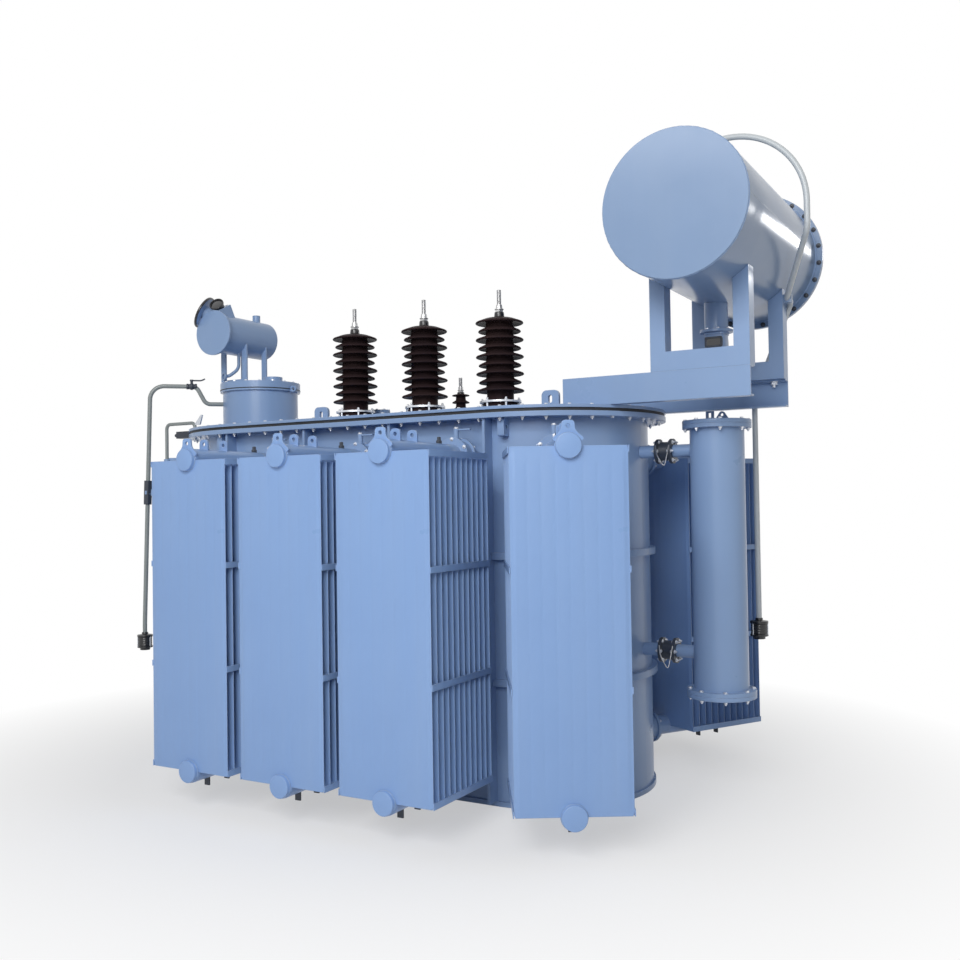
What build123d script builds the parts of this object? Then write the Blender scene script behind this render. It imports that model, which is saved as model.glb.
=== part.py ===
"""Oil-filled power transformer: obround tank, panel radiators, bushings, tap changer, conservator.

Millimetres. The origin is the middle of the tank's base on the floor, +Z is up,
+X points to the conservator end and -Y to the front, the side with the high-voltage bushings.
"""
import math
import os
from build123d import *

SEAT_GAP = 0.3  # room between round faces that meet

# Tank
TANK_RADIUS = 590.0  # outer radius of the round ends, and half the tank's width
TANK_STRAIGHT = 1780.0  # length of the flat side walls
TANK_HEIGHT = 2016.0  # floor to the top of the tank's rim
TANK_WALL = 8.0
BASE_THICKNESS = 25.0
BASE_LIP = 12.0
RIM_WIDTH = 100.0  # how far rim and cover stand out past the wall
RIM_THICKNESS = 26.0
RIM_SEAT = 30.0  # how far the rim reaches in over the wall
GASKET_THICKNESS = 16.0
GASKET_INSET = 8.0
COVER_THICKNESS = 16.0
BELT_HEIGHTS = (615.0, 1263.0)  # undersides of the stiffening belts round the wall
BELT_WIDTH = 36.0
BELT_DEPTH = 30.0
RIB_SHARES = (-1.0, -1 / 3, 1 / 3, 1.0)  # places of the upright ribs from the wall's middle to its ends
RIB_THICKNESS = 15.0
RIB_DEPTH = 80.0

# Lifting lugs on the cover
COVER_LUG_MIDDLE = 345.0
COVER_LUG_SPAN = 1530.0
COVER_LUG_INSET = 350.0  # cover's side edge to the lugs
COVER_LUG_WIDTH = 100.0
COVER_LUG_RISE = 99.0
COVER_LUG_THICKNESS = 20.0
COVER_LUG_CORNER = 28.0
COVER_LUG_SLOT = 42.0  # height of the slot in the lug
COVER_LUG_SLOT_WIDTH = 23.0
COVER_LUG_SLOT_HEIGHT = 52.0  # cover to the slot's middle

# Radiators
PANEL_WIDTH = 520.0
PANEL_THICKNESS = 10.0
PANEL_PITCH = 48.0
PANEL_COUNT = 12
HEADER_SPACING = 1600.0  # lower header axis to upper header axis, and the panels' height
HEADER_RADIUS = 57.0
HEADER_HEIGHT = 201.0  # floor to the lower header's axis
HEADER_KEEL = 40.0  # depth of the header's flat-sided half between the panels
HEADER_CAP = 22.0  # how far a header's closed end stands out of the outer panel
RADIATOR_PITCH = 611.0
RADIATOR_SHIFT = 129.0  # middle radiator's place along the wall
END_RADIATOR_ANGLE = 30.8  # turn of the end radiators from the front's direction
BRACE_WIDTH = 30.0
BRACE_THICKNESS = 5.0
BRACE_SHARES = (0.0, 1 / 3, 2 / 3, 1.0)  # heights of the braces as shares of the panel
LUG_BASE = 148.0  # width of the outer lug where it meets the header
LUG_TOP = 58.0  # width of every lug at its top
LUG_RISE = 112.0  # header axis to the lug's top
LUG_HOLE_RISE = 86.0
LUG_HOLE_RADIUS = 12.0
LUG_CORNER = 25.0
LUG_THICKNESS = 10.0
LUG_GAPS = (3, 6)  # gaps between panels, from the outer one, that hold the narrow lugs
PEG_WIDTH = 33.0
PEG_DROP = 100.0  # lower header's axis to the foot of its pegs

# Pipe flanges and valves between radiators and tank
FLANGE_RADIUS = 92.0
FLANGE_THICKNESS = 16.0
TANK_PIPE = 80.0  # wall to the far face of the tank's pipe flange
VALVE_LENGTH = 60.0
VALVE_RADIUS = 80.0
VALVE_STEM = 60.0
VALVE_STEM_RADIUS = 14.0
HEADER_STUB = 110.0  # inner panel to the far face of the header's flange

# High-voltage bushings
HV_PITCH = 478.0
HV_MIDDLE_X = 380.0
HV_INSET = 256.0  # cover's front edge to the bushings' axes
HV_FOOT_RADIUS = 92.0
HV_FOOT = 38.0
HV_RING_RADIUS = 112.0  # clamp ring over the porcelain's foot
HV_RING_THICKNESS = 10.0
HV_CORE_RADIUS = 72.0
HV_SHED_RADIUS = 129.0
HV_SMALL_SHED_RADIUS = 115.0
HV_SHED_PITCH = 91.0
HV_SHED_COUNT = 5
HV_FIRST_SHED = 66.0  # cover to the lowest shed's edge
HV_SHED_DROOP = 7.0  # how far a shed's edge hangs below its root
HV_SHED_SLOPE = 24.0
HV_DOME = 37.0
HV_NECK_RADIUS = 30.0
HV_CAP_RADIUS = 28.0
HV_CAP_HEIGHT = 35.0
HV_CONE_RADIUS = 23.0
HV_CONE_HEIGHT = 62.0
HV_STUD_RADIUS = 12.0
HV_STUD_HEIGHT = 80.0

# Low-voltage bushings
LV_PITCH = 300.0
LV_MIDDLE_X = 157.0
LV_INSET = 360.0  # cover's back edge to the bushings' axes
LV_FOOT_RADIUS = 44.0
LV_FOOT = 24.0
LV_RING_RADIUS = 58.0
LV_RING_THICKNESS = 8.0
LV_CORE_RADIUS = 30.0
LV_SHED_RADIUS = 56.0
LV_SHED_PITCH = 45.0
LV_SHED_COUNT = 4
LV_FIRST_SHED = 48.0
LV_SHED_DROOP = 4.0
LV_SHED_SLOPE = 14.0
LV_DOME = 12.0
LV_NECK_RADIUS = 28.0
LV_CAP_RADIUS = 24.0
LV_CAP_HEIGHT = 14.0
LV_CONE_RADIUS = 19.0
LV_CONE_HEIGHT = 32.0
LV_STUD_RADIUS = 12.0
LV_STUD_HEIGHT = 60.0

# Tap changer at the left end
TURRET_OFFSET = 320.0  # end of the flat wall to the turret's axis
TURRET_RADIUS = 245.0
TURRET_HEIGHT = 262.0
TURRET_FLANGE_RADIUS = 262.0
TURRET_FLANGE = 14.0
HEAD_THICKNESS = 46.0
HUB_RADIUS = 62.0  # low hub in the middle of the head
HUB_HEIGHT = 40.0
HUB_OFFSET = 110.0
DRUM_OFFSET = 121.0  # turret's axis to the small drum's axis
DRUM_RISE = 320.0  # head to the small drum's axis
DRUM_RADIUS = 126.0
DRUM_FRONT = -300.0
DRUM_LENGTH = 470.0
DRUM_DISC_RADIUS = 146.0
DRUM_DISC_THICKNESS = 14.0
BRACKET_THICKNESS = 12.0
BRACKET_WIDTH = 226.0
BRACKET_LEG = 40.0
BRACKET_FOOT = 30.0
BRACKET_Y = (-125.0, 65.0)
GAUGE_WIDTH = 110.0  # level gauge housing over the drum's front
GAUGE_DEPTH = 120.0
GAUGE_HEIGHT = 90.0
GAUGE_TILT = 28.0
FILLER_RADIUS = 26.0
FILLER_HEIGHT = 44.0
FILLER_PLACE = 400.0  # drum's front to the filler

# Tap changer's breather pipe and sampling pipe
TAP_PIPE_RADIUS = 14.0
TAP_PIPE_RISE = 187.0  # cover to the pipe where it leaves the turret
TAP_CREST_RISE = 302.0
TAP_STEP = 110.0  # turret's wall to the pipe's step up
TAP_STEP_RUN = 60.0
TAP_BEND = 50.0
TAP_CREST_BEND = 90.0
TAP_DROP_X = 494.0  # turret's axis to the top of the pipe's drop, along the tank
TAP_DROP_Y = 503.0  # and towards the front
TAP_LEAN = 68.0  # how far the drop leans out from its top to the breather
TAP_TAIL = 60.0  # upright end of the pipe over the breather
TAP_BREATHER_LEVEL = 745.0
SAMPLE_PIPE_RADIUS = 11.0
SAMPLE_RISE = 50.0
SAMPLE_INSET = 36.0  # cover's edge to the sampling pipe's start
SAMPLE_ANGLE = 40.0  # turn of that start from the tank's long axis
SAMPLE_REACH = 254.0
SAMPLE_LEVEL = 1000.0
SAMPLE_BEND = 32.0

# Conservator, its frames and beams
BEAM_INSET = 307.0  # cover's side edge to the beams' outer faces
BEAM_CLEARANCE = 40.0  # cover's lugs to the beams
BEAM_OVERHANG = 598.0  # cover's end to the beams' free end
BEAM_HEIGHT = 146.0
BEAM_DEPTH = 60.0
BEAM_WEB = 8.0
FRAME_LENGTH = 496.0
POST_WIDTH = 78.0
POST_DEPTH = 90.0
RAIL_HEIGHT = 96.0
CONSERVATOR_INSET = 248.0  # beams' free end to the drum's axis
CONSERVATOR_RISE = 724.0  # beams' top to the drum's axis
CONSERVATOR_RADIUS = 348.0
CONSERVATOR_WALL = 6.0
CONSERVATOR_FRONT = -718.0
CONSERVATOR_LENGTH = 1390.0
CONSERVATOR_END = 10.0
CONSERVATOR_FLANGE_RADIUS = 385.0
CONSERVATOR_FLANGE = 16.0
CONSERVATOR_COVER = 14.0

# Oil pipe and gas relay under the conservator
OUTLET_OFFSET = 25.0  # drum's axis to the outlet's axis
OUTLET_RADIUS = 60.0
OUTLET_LENGTH = 150.0  # drum's lowest line to the underside of the outlet's flange
OUTLET_FLANGE_RADIUS = 84.0
OUTLET_FLANGE = 14.0
RELAY_HEIGHT = 104.0
RELAY_SIDE = 110.0
OIL_PIPE_RADIUS = 28.0
OIL_PIPE_BEND = 62.0
OIL_PIPE_LEVEL = 90.0  # cover to the pipe's axis
OIL_PIPE_INSET = 290.0  # cover's end to the pipe's foot

# Breathers, and the conservator's breather pipe
BREATHER_RADIUS = 50.0
BREATHER_HEIGHT = 115.0
BREATHER_PIPE_RADIUS = 15.0
HOOP_Y = -100.0
HOOP_OFFSET = 30.0  # drum's axis to the hoop's start on the drum's top
HOOP_RISE = 125.0  # drum's top line to the hoop's axis
HOOP_STANDOFF = 118.0  # drum's side to the hoop's axis
HOOP_BEND = 380.0
HOOP_START_BEND = 85.0
HOOP_TAIL = 40.0  # drum's axis down to the end of the hoop's upright side
CLIP_GAP = 7.0  # room between the pipe and the rear post
CLIP_DROP = 300.0  # drum's axis down to the clip on the rear post
CLIP_BEND = 40.0
CROSS_DROP = 80.0  # beams' top down to the pipe's turn behind the rear beam
BREATHER_BEND = 60.0
BREATHER_INSET = 188.0  # beams' free end to the breather
BREATHER_LEVEL = 905.0

# Oil filter column at the right end
FILTER_STANDOFF = 416.0  # tank's end to the column's axis
FILTER_RADIUS = 139.0
FILTER_BOTTOM = 562.0
FILTER_DROP = 104.0  # cover's top down to the column's upper flange
FILTER_FLANGE_RADIUS = 176.0
FILTER_FLANGE = 20.0
FILTER_LID = 22.0
FILTER_PIPE_RADIUS = 34.0
FILTER_PIPE_INSETS = (200.0, 128.0)  # lower and upper flange to the pipes
FILTER_VALVE_RADIUS = 66.0
FILTER_VALVE_LENGTH = 90.0
FILTER_LUG_RISE = 50.0
FILTER_LUG_WIDTH = 56.0
FILTER_LUG_THICKNESS = 12.0
FILTER_LUG_OFFSET = 40.0

# Worked out from the sizes above
LOW = (Align.CENTER, Align.CENTER, Align.MIN)
HALF_STRAIGHT = TANK_STRAIGHT / 2
TANK_END = HALF_STRAIGHT + TANK_RADIUS
RIM_RADIUS = TANK_RADIUS + RIM_WIDTH
COVER_END = HALF_STRAIGHT + RIM_RADIUS
WALL_TOP = TANK_HEIGHT - RIM_THICKNESS
COVER_BOTTOM = TANK_HEIGHT + GASKET_THICKNESS
COVER_TOP = COVER_BOTTOM + COVER_THICKNESS
STACK_DEPTH = (PANEL_COUNT - 1) * PANEL_PITCH + PANEL_THICKNESS
RADIATOR_GAP = TANK_PIPE + VALVE_LENGTH + HEADER_STUB
HEADER_HEIGHTS = (HEADER_HEIGHT, HEADER_HEIGHT + HEADER_SPACING)
TURRET_X = -HALF_STRAIGHT - TURRET_OFFSET
TURRET_TOP = COVER_TOP + TURRET_HEIGHT + TURRET_FLANGE
HEAD_TOP = TURRET_TOP + HEAD_THICKNESS
DRUM_X = TURRET_X - DRUM_OFFSET
DRUM_HEIGHT = HEAD_TOP + DRUM_RISE
BEAM_Y = RIM_RADIUS - BEAM_INSET
BEAM_START = COVER_LUG_MIDDLE + (COVER_LUG_SPAN + COVER_LUG_WIDTH) / 2 + BEAM_CLEARANCE
BEAM_END = COVER_END + BEAM_OVERHANG
BEAM_TOP = COVER_TOP + BEAM_HEIGHT
CONSERVATOR_X = BEAM_END - CONSERVATOR_INSET
CONSERVATOR_HEIGHT = BEAM_TOP + CONSERVATOR_RISE
CONSERVATOR_BACK = CONSERVATOR_FRONT + CONSERVATOR_LENGTH
OUTLET_X = CONSERVATOR_X - OUTLET_OFFSET
RELAY_TOP = CONSERVATOR_HEIGHT - CONSERVATOR_RADIUS - OUTLET_LENGTH
RELAY_BOTTOM = RELAY_TOP - RELAY_HEIGHT
FILTER_X = TANK_END + FILTER_STANDOFF
FILTER_TOP = COVER_TOP - FILTER_DROP
COVER_LUG_Y = RIM_RADIUS - COVER_LUG_INSET
HV_Y = HV_INSET - RIM_RADIUS
LV_Y = RIM_RADIUS - LV_INSET
HV_SHEDS = [HV_SHED_RADIUS, HV_SMALL_SHED_RADIUS] * (HV_SHED_COUNT - 1) + [HV_SHED_RADIUS]
LV_SHEDS = [LV_SHED_RADIUS] * LV_SHED_COUNT
HV_PLACES = [(HV_MIDDLE_X + step * HV_PITCH, HV_Y) for step in (-1, 0, 1)]
LV_PLACES = [(LV_MIDDLE_X + step * LV_PITCH, LV_Y) for step in (-1, 0, 1)]


def block(x0, x1, y0, y1, z0, z1):
    """A box between two corners."""
    size = Box(x1 - x0, y1 - y0, z1 - z0)
    return Pos((x0 + x1) / 2, (y0 + y1) / 2, (z0 + z1) / 2) * size


def rod(start, end, radius):
    """A round bar from one point to another."""
    run = Vector(*end) - Vector(*start)
    return Plane(origin=start, z_dir=run) * Cylinder(radius, run.length, align=LOW)


def upright(x, y, z0, z1, radius):
    """A round bar that stands on z0 and ends at z1."""
    return Pos(x, y, z0) * Cylinder(radius, z1 - z0, align=LOW)


def bent_pipe(points, radius, bends):
    """A round bar along straight runs joined by arcs."""
    path = FilletPolyline(*points, radius=bends)
    return sweep(Plane(origin=path @ 0, z_dir=path % 0) * Circle(radius), path=path)


def obround(radius, z0, z1):
    """A slab with straight sides and half-round ends, as wide as the tank at that radius."""
    outline = SlotCenterToCenter(TANK_STRAIGHT, 2 * radius)
    return Pos(0, 0, z0) * extrude(outline, z1 - z0)


def turned(points):
    """A solid of revolution about Z from its half outline."""
    outline = make_face(Polyline(*points, close=True))
    return revolve(Plane.XZ * outline, Axis.Z)


def plate_across(outline, thickness):
    """A plate from an outline drawn in X and Z, with its middle plane at y 0."""
    return Plane.XZ * extrude(outline, thickness / 2, both=True)


def solids(*pieces):
    """Pieces that share a node and do not touch."""
    return Compound(children=list(pieces))


# Tank
def side_wall():
    """The front wall with its two stiffening belts and its upright ribs."""
    outer = -TANK_RADIUS
    wall = block(-HALF_STRAIGHT, HALF_STRAIGHT, outer, outer + TANK_WALL, BASE_THICKNESS, WALL_TOP)
    for height in BELT_HEIGHTS:
        wall += block(-HALF_STRAIGHT, HALF_STRAIGHT, outer - BELT_DEPTH, outer, height, height + BELT_WIDTH)
    half = RIB_THICKNESS / 2
    for share in RIB_SHARES:
        x = share * (HALF_STRAIGHT - half)
        wall += block(x - half, x + half, outer - RIB_DEPTH, outer, BASE_THICKNESS, WALL_TOP)
    return wall


def end_quarter(start):
    """A quarter of a round end, about the end's own axis, from an angle in degrees."""
    section = Pos(TANK_RADIUS - TANK_WALL, BASE_THICKNESS) * Rectangle(
        TANK_WALL, WALL_TOP - BASE_THICKNESS, align=(Align.MIN, Align.MIN)
    )
    for height in BELT_HEIGHTS:
        section += Pos(TANK_RADIUS, height) * Rectangle(BELT_DEPTH, BELT_WIDTH, align=(Align.MIN, Align.MIN))
    return Rot(0, 0, start) * revolve(Plane.XZ * section, Axis.Z, 90)


def rim():
    """The tank's top rim, a flat ring on the walls."""
    inner = TANK_RADIUS - RIM_SEAT
    return obround(RIM_RADIUS, WALL_TOP, TANK_HEIGHT) - obround(inner, WALL_TOP, TANK_HEIGHT)


def gasket():
    """The seal between rim and cover, set in a little from the edge."""
    outer = RIM_RADIUS - GASKET_INSET
    return obround(outer, TANK_HEIGHT, COVER_BOTTOM) - obround(TANK_RADIUS, TANK_HEIGHT, COVER_BOTTOM)


def cover_lug():
    """One lifting plate that stands on the cover, with round upper corners and a slot."""
    plate = Rectangle(COVER_LUG_WIDTH, COVER_LUG_RISE, align=(Align.CENTER, Align.MIN))
    plate = fillet(plate.vertices().group_by(Axis.Y)[-1], COVER_LUG_CORNER)
    slot = SlotOverall(COVER_LUG_SLOT, COVER_LUG_SLOT_WIDTH, rotation=90)
    return plate_across(plate - Pos(0, COVER_LUG_SLOT_HEIGHT) * slot, COVER_LUG_THICKNESS)


def cover_lug_places():
    """Feet of the four lugs, in two rows along the cover."""
    half = COVER_LUG_SPAN / 2
    ends = (COVER_LUG_MIDDLE - half, COVER_LUG_MIDDLE + half)
    return [(x, y) for x in ends for y in (-COVER_LUG_Y, COVER_LUG_Y)]


# Radiators
def header_profile():
    """Section of a header: round above the panels' edge, flat-sided where the panels join it."""
    arc = CenterArc((0, 0), HEADER_RADIUS, 0, 180)
    keel = Polyline(
        (-HEADER_RADIUS, 0),
        (-HEADER_RADIUS / 2, -HEADER_KEEL),
        (HEADER_RADIUS / 2, -HEADER_KEEL),
        (HEADER_RADIUS, 0),
    )
    return make_face([arc, keel])


def header(height, turn):
    """One header through the panels, with its closed end in front of the outer panel."""
    frame = Plane(origin=(0, STACK_DEPTH, height), x_dir=(1, 0, 0), z_dir=(0, -1, 0))
    pipe = extrude(frame * Rot(0, 0, turn) * header_profile(), STACK_DEPTH)
    return pipe + rod((0, -HEADER_CAP, height), (0, 0, height), HEADER_RADIUS)


def header_lug(base):
    """A lifting plate with a hole on the upper header, as wide as base at the header's axis."""
    plate = make_face(Polyline(
        (-base / 2, 0),
        (base / 2, 0),
        (LUG_TOP / 2, LUG_HOLE_RISE),
        (LUG_TOP / 2, LUG_RISE),
        (-LUG_TOP / 2, LUG_RISE),
        (-LUG_TOP / 2, LUG_HOLE_RISE),
        close=True,
    ))
    plate = fillet(plate.vertices().group_by(Axis.Y)[-1], LUG_CORNER)
    return plate_across(plate - Pos(0, LUG_HOLE_RISE) * Circle(LUG_HOLE_RADIUS), LUG_THICKNESS)


def radiator():
    """One radiator in its own frame: outer face at y 0, tank towards +Y, headers at their heights."""
    low, high = HEADER_HEIGHTS
    half = PANEL_WIDTH / 2
    body = header(low, 180) + header(high, 0)
    for step in range(PANEL_COUNT):
        near = step * PANEL_PITCH
        body += block(-half, half, near, near + PANEL_THICKNESS, low, high)
    body += Pos(0, PANEL_THICKNESS / 2, high) * header_lug(LUG_BASE)
    for gap in LUG_GAPS:
        middle = (gap - 0.5) * PANEL_PITCH + PANEL_THICKNESS / 2
        body += Pos(0, middle, high) * header_lug(LUG_TOP)
        edges = (middle - LUG_THICKNESS / 2, middle + LUG_THICKNESS / 2)
        body += block(-PEG_WIDTH / 2, PEG_WIDTH / 2, *edges, low - PEG_DROP, low)
    for share in BRACE_SHARES:
        base = low + share * (HEADER_SPACING - BRACE_WIDTH)
        for side in (-half - BRACE_THICKNESS, half):
            body += block(side, side + BRACE_THICKNESS, 0, STACK_DEPTH, base, base + BRACE_WIDTH)
    return body


def tank_pipe(curved):
    """The pipe and flange welded to the tank, from the wall at y 0 out to -TANK_PIPE."""
    face = FLANGE_THICKNESS - TANK_PIPE
    if curved:
        wall = Pos(0, TANK_RADIUS, 0) * Cylinder(TANK_RADIUS + SEAT_GAP, 4 * HEADER_RADIUS)
        pipe = rod((0, HEADER_RADIUS, 0), (0, face, 0), HEADER_RADIUS) - wall
    else:
        pipe = rod((0, 0, 0), (0, face, 0), HEADER_RADIUS)
    return pipe + rod((0, face, 0), (0, -TANK_PIPE, 0), FLANGE_RADIUS)


def header_stub():
    """The header's end and flange between the inner panel and the valve."""
    near = -TANK_PIPE - VALVE_LENGTH
    flange = rod((0, near, 0), (0, near - FLANGE_THICKNESS, 0), FLANGE_RADIUS)
    return flange + rod((0, near - FLANGE_THICKNESS, 0), (0, -RADIATOR_GAP, 0), HEADER_RADIUS)


def valve():
    """The butterfly valve clamped between the two flanges, with its stem."""
    body = rod((0, -TANK_PIPE, 0), (0, -TANK_PIPE - VALVE_LENGTH, 0), VALVE_RADIUS)
    middle = -TANK_PIPE - VALVE_LENGTH / 2
    return body + rod((0, middle, 0), (0, middle, VALVE_RADIUS + VALVE_STEM), VALVE_STEM_RADIUS)


def radiator_places():
    """Name, place of the tank wall behind the radiator, turn about Z, and if the wall there is round."""
    places = []
    for side, turn, name in ((-1, 0, "front"), (1, 180, "back")):
        for step in range(3):
            x = RADIATOR_SHIFT + (step - 1) * RADIATOR_PITCH
            places.append((f"radiator_{name}_{step + 1}", (x, side * TANK_RADIUS), turn, False))
    angle = math.radians(END_RADIATOR_ANGLE)
    x = HALF_STRAIGHT + TANK_RADIUS * math.sin(angle)
    y = TANK_RADIUS * math.cos(angle)
    places.append(("radiator_end_front", (x, -y), END_RADIATOR_ANGLE, True))
    places.append(("radiator_end_back", (x, y), 180 - END_RADIATOR_ANGLE, True))
    return places


# Bushings
def shed_outline(foot, core, first, pitch, sheds, droop, slope, neck):
    """Half outline of a porcelain body: a foot, a core with drooping sheds, and a dome to the neck."""
    foot_radius, foot_height = foot
    neck_radius, dome = neck
    points = [(0, 0), (foot_radius, 0), (foot_radius, foot_height), (core, foot_height)]
    for step, reach in enumerate(sheds):
        edge = first + step * pitch
        points += [(core, edge + droop), (reach, edge), (core, edge + slope)]
    top = first + (len(sheds) - 1) * pitch
    points[-1] = (neck_radius, top + dome)
    points.append((0, top + dome))
    return points


def terminal(cap, cone, stud):
    """Metal cap, cone and stud on a porcelain's top, each given as radius and height."""
    points = [
        (0, 0),
        (cap[0], 0),
        (cap[0], cap[1]),
        (cone[0], cap[1]),
        (stud[0], cap[1] + cone[1]),
        (stud[0], cap[1] + cone[1] + stud[1]),
        (0, cap[1] + cone[1] + stud[1]),
    ]
    return turned(points)


def clamp_ring(core, radius, thickness):
    """The ring that holds a porcelain's foot down, with room around the core."""
    ring = Circle(radius) - Circle(core + SEAT_GAP)
    return extrude(ring, thickness)


# Tap changer
def turret():
    """The tap changer's neck on the cover, with a flange at its top."""
    neck = upright(TURRET_X, 0, COVER_TOP, COVER_TOP + TURRET_HEIGHT, TURRET_RADIUS)
    return neck + upright(TURRET_X, 0, COVER_TOP + TURRET_HEIGHT, TURRET_TOP, TURRET_FLANGE_RADIUS)


def head():
    """The tap changer's head: a thick disc with a low hub beside the drum's brackets."""
    disc = upright(TURRET_X, 0, TURRET_TOP, HEAD_TOP, TURRET_FLANGE_RADIUS)
    return disc + upright(TURRET_X + HUB_OFFSET, 0, HEAD_TOP, HEAD_TOP + HUB_HEIGHT, HUB_RADIUS)


def small_drum_body(clearance):
    """The small drum's outer surface, also used to cut its brackets."""
    start = (DRUM_X, DRUM_FRONT, DRUM_HEIGHT)
    end = (DRUM_X, DRUM_FRONT + DRUM_LENGTH, DRUM_HEIGHT)
    return rod(start, end, DRUM_RADIUS + clearance)


def drum_bracket(y):
    """A bracket with two legs on the head, cut to the small drum."""
    half = BRACKET_WIDTH / 2
    inner = half - BRACKET_LEG
    plate = block(DRUM_X - half, DRUM_X + half, y, y + BRACKET_THICKNESS, HEAD_TOP, DRUM_HEIGHT)
    window = block(
        DRUM_X - inner, DRUM_X + inner, y, y + BRACKET_THICKNESS, HEAD_TOP + BRACKET_FOOT, DRUM_HEIGHT
    )
    return plate - window - small_drum_body(SEAT_GAP)


def small_drum():
    """The tap changer's own oil drum: a wider front disc, a tilted gauge housing and a filler."""
    drum = small_drum_body(0)
    face = DRUM_FRONT - DRUM_DISC_THICKNESS
    drum += rod((DRUM_X, face, DRUM_HEIGHT), (DRUM_X, DRUM_FRONT, DRUM_HEIGHT), DRUM_DISC_RADIUS)
    top = DRUM_HEIGHT + DRUM_RADIUS
    gauge = Box(GAUGE_WIDTH, GAUGE_DEPTH, GAUGE_HEIGHT)
    drum += Pos(DRUM_X, DRUM_FRONT + GAUGE_DEPTH / 2, top) * Rot(GAUGE_TILT, 0, 0) * gauge
    return drum + upright(DRUM_X, DRUM_FRONT + FILLER_PLACE, DRUM_HEIGHT, top + FILLER_HEIGHT, FILLER_RADIUS)


def tap_pipe():
    """The tap changer's breather pipe: out of the turret, a step up, along, and down to the breather."""
    reach = math.hypot(TAP_DROP_X, TAP_DROP_Y)

    def along(distance, rise):
        share = distance / reach
        return (TURRET_X - share * TAP_DROP_X, -share * TAP_DROP_Y, COVER_TOP + rise)

    step = TURRET_RADIUS + TAP_STEP
    foot = TURRET_X - TAP_DROP_X - TAP_LEAN
    points = [
        along(TURRET_RADIUS - TAP_PIPE_RADIUS, TAP_PIPE_RISE),
        along(step, TAP_PIPE_RISE),
        along(step + TAP_STEP_RUN, TAP_CREST_RISE),
        along(reach, TAP_CREST_RISE),
        (foot, -TAP_DROP_Y, TAP_BREATHER_LEVEL + TAP_TAIL),
        (foot, -TAP_DROP_Y, TAP_BREATHER_LEVEL),
    ]
    pipe = bent_pipe(points, TAP_PIPE_RADIUS, [TAP_BEND, TAP_BEND, TAP_CREST_BEND, TAP_BEND])
    return pipe - upright(TURRET_X, 0, COVER_TOP, TURRET_TOP, TURRET_RADIUS + SEAT_GAP)


def sampling_pipe():
    """A thin pipe from the cover over its edge and down beside the tank's left end."""
    angle = math.radians(SAMPLE_ANGLE)
    radius = RIM_RADIUS - SAMPLE_INSET
    start = -HALF_STRAIGHT - radius * math.cos(angle)
    y = -radius * math.sin(angle)
    level = COVER_TOP + SAMPLE_RISE
    end = start - SAMPLE_REACH
    points = [
        (start, y, COVER_TOP),
        (start, y, level),
        (end, y, level),
        (end, y, SAMPLE_LEVEL),
    ]
    return bent_pipe(points, SAMPLE_PIPE_RADIUS, SAMPLE_BEND)


# Conservator
def channel(y, facing):
    """One long beam with its web at y and its flanges turned towards +Y or -Y."""
    web = sorted((y, y + facing * BEAM_WEB))
    reach = sorted((y, y + facing * BEAM_DEPTH))
    beam = block(BEAM_START, BEAM_END, *web, COVER_TOP, BEAM_TOP)
    beam += block(BEAM_START, BEAM_END, *reach, COVER_TOP, COVER_TOP + BEAM_WEB)
    return beam + block(BEAM_START, BEAM_END, *reach, BEAM_TOP - BEAM_WEB, BEAM_TOP)


def conservator_body(clearance):
    """The drum's outer surface, also used to cut what seats against it."""
    start = (CONSERVATOR_X, CONSERVATOR_FRONT, CONSERVATOR_HEIGHT)
    end = (CONSERVATOR_X, CONSERVATOR_BACK, CONSERVATOR_HEIGHT)
    return rod(start, end, CONSERVATOR_RADIUS + clearance)


def saddle(near):
    """A welded frame under the drum: a rail on the beam and two posts cut to the drum."""
    far = near + POST_DEPTH
    start = BEAM_END - FRAME_LENGTH
    frame = block(start, BEAM_END, near, far, BEAM_TOP, BEAM_TOP + RAIL_HEIGHT)
    for x in (start, BEAM_END - POST_WIDTH):
        frame += block(x, x + POST_WIDTH, near, far, BEAM_TOP, CONSERVATOR_HEIGHT)
    return frame - conservator_body(SEAT_GAP)


def drum_half(side):
    """Upper half of the conservator's shell with side 1, lower half with side -1."""
    wall = conservator_body(0) - conservator_body(-CONSERVATOR_WALL)
    reach = 2 * CONSERVATOR_RADIUS
    levels = sorted((CONSERVATOR_HEIGHT, CONSERVATOR_HEIGHT + side * reach))
    x0, x1 = CONSERVATOR_X - reach, CONSERVATOR_X + reach
    return wall & block(x0, x1, CONSERVATOR_FRONT, CONSERVATOR_BACK, *levels)


def drum_disc(y, thickness, radius):
    """A flat end of the conservator from y towards +Y."""
    start = (CONSERVATOR_X, y, CONSERVATOR_HEIGHT)
    return rod(start, (CONSERVATOR_X, y + thickness, CONSERVATOR_HEIGHT), radius)


def outlet():
    """The drum's outlet neck and flange, cut to the drum's underside."""
    neck_top = CONSERVATOR_HEIGHT - CONSERVATOR_RADIUS + OUTLET_RADIUS
    neck = upright(OUTLET_X, 0, RELAY_TOP, neck_top, OUTLET_RADIUS) - conservator_body(SEAT_GAP)
    return neck + upright(OUTLET_X, 0, RELAY_TOP, RELAY_TOP + OUTLET_FLANGE, OUTLET_FLANGE_RADIUS)


def oil_pipe():
    """The pipe from the gas relay down between the beams, along them, and into the cover."""
    level = COVER_TOP + OIL_PIPE_LEVEL
    foot = COVER_END - OIL_PIPE_INSET
    points = [(OUTLET_X, 0, RELAY_BOTTOM), (OUTLET_X, 0, level), (foot, 0, level), (foot, 0, COVER_TOP)]
    return bent_pipe(points, OIL_PIPE_RADIUS, OIL_PIPE_BEND)


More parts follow.
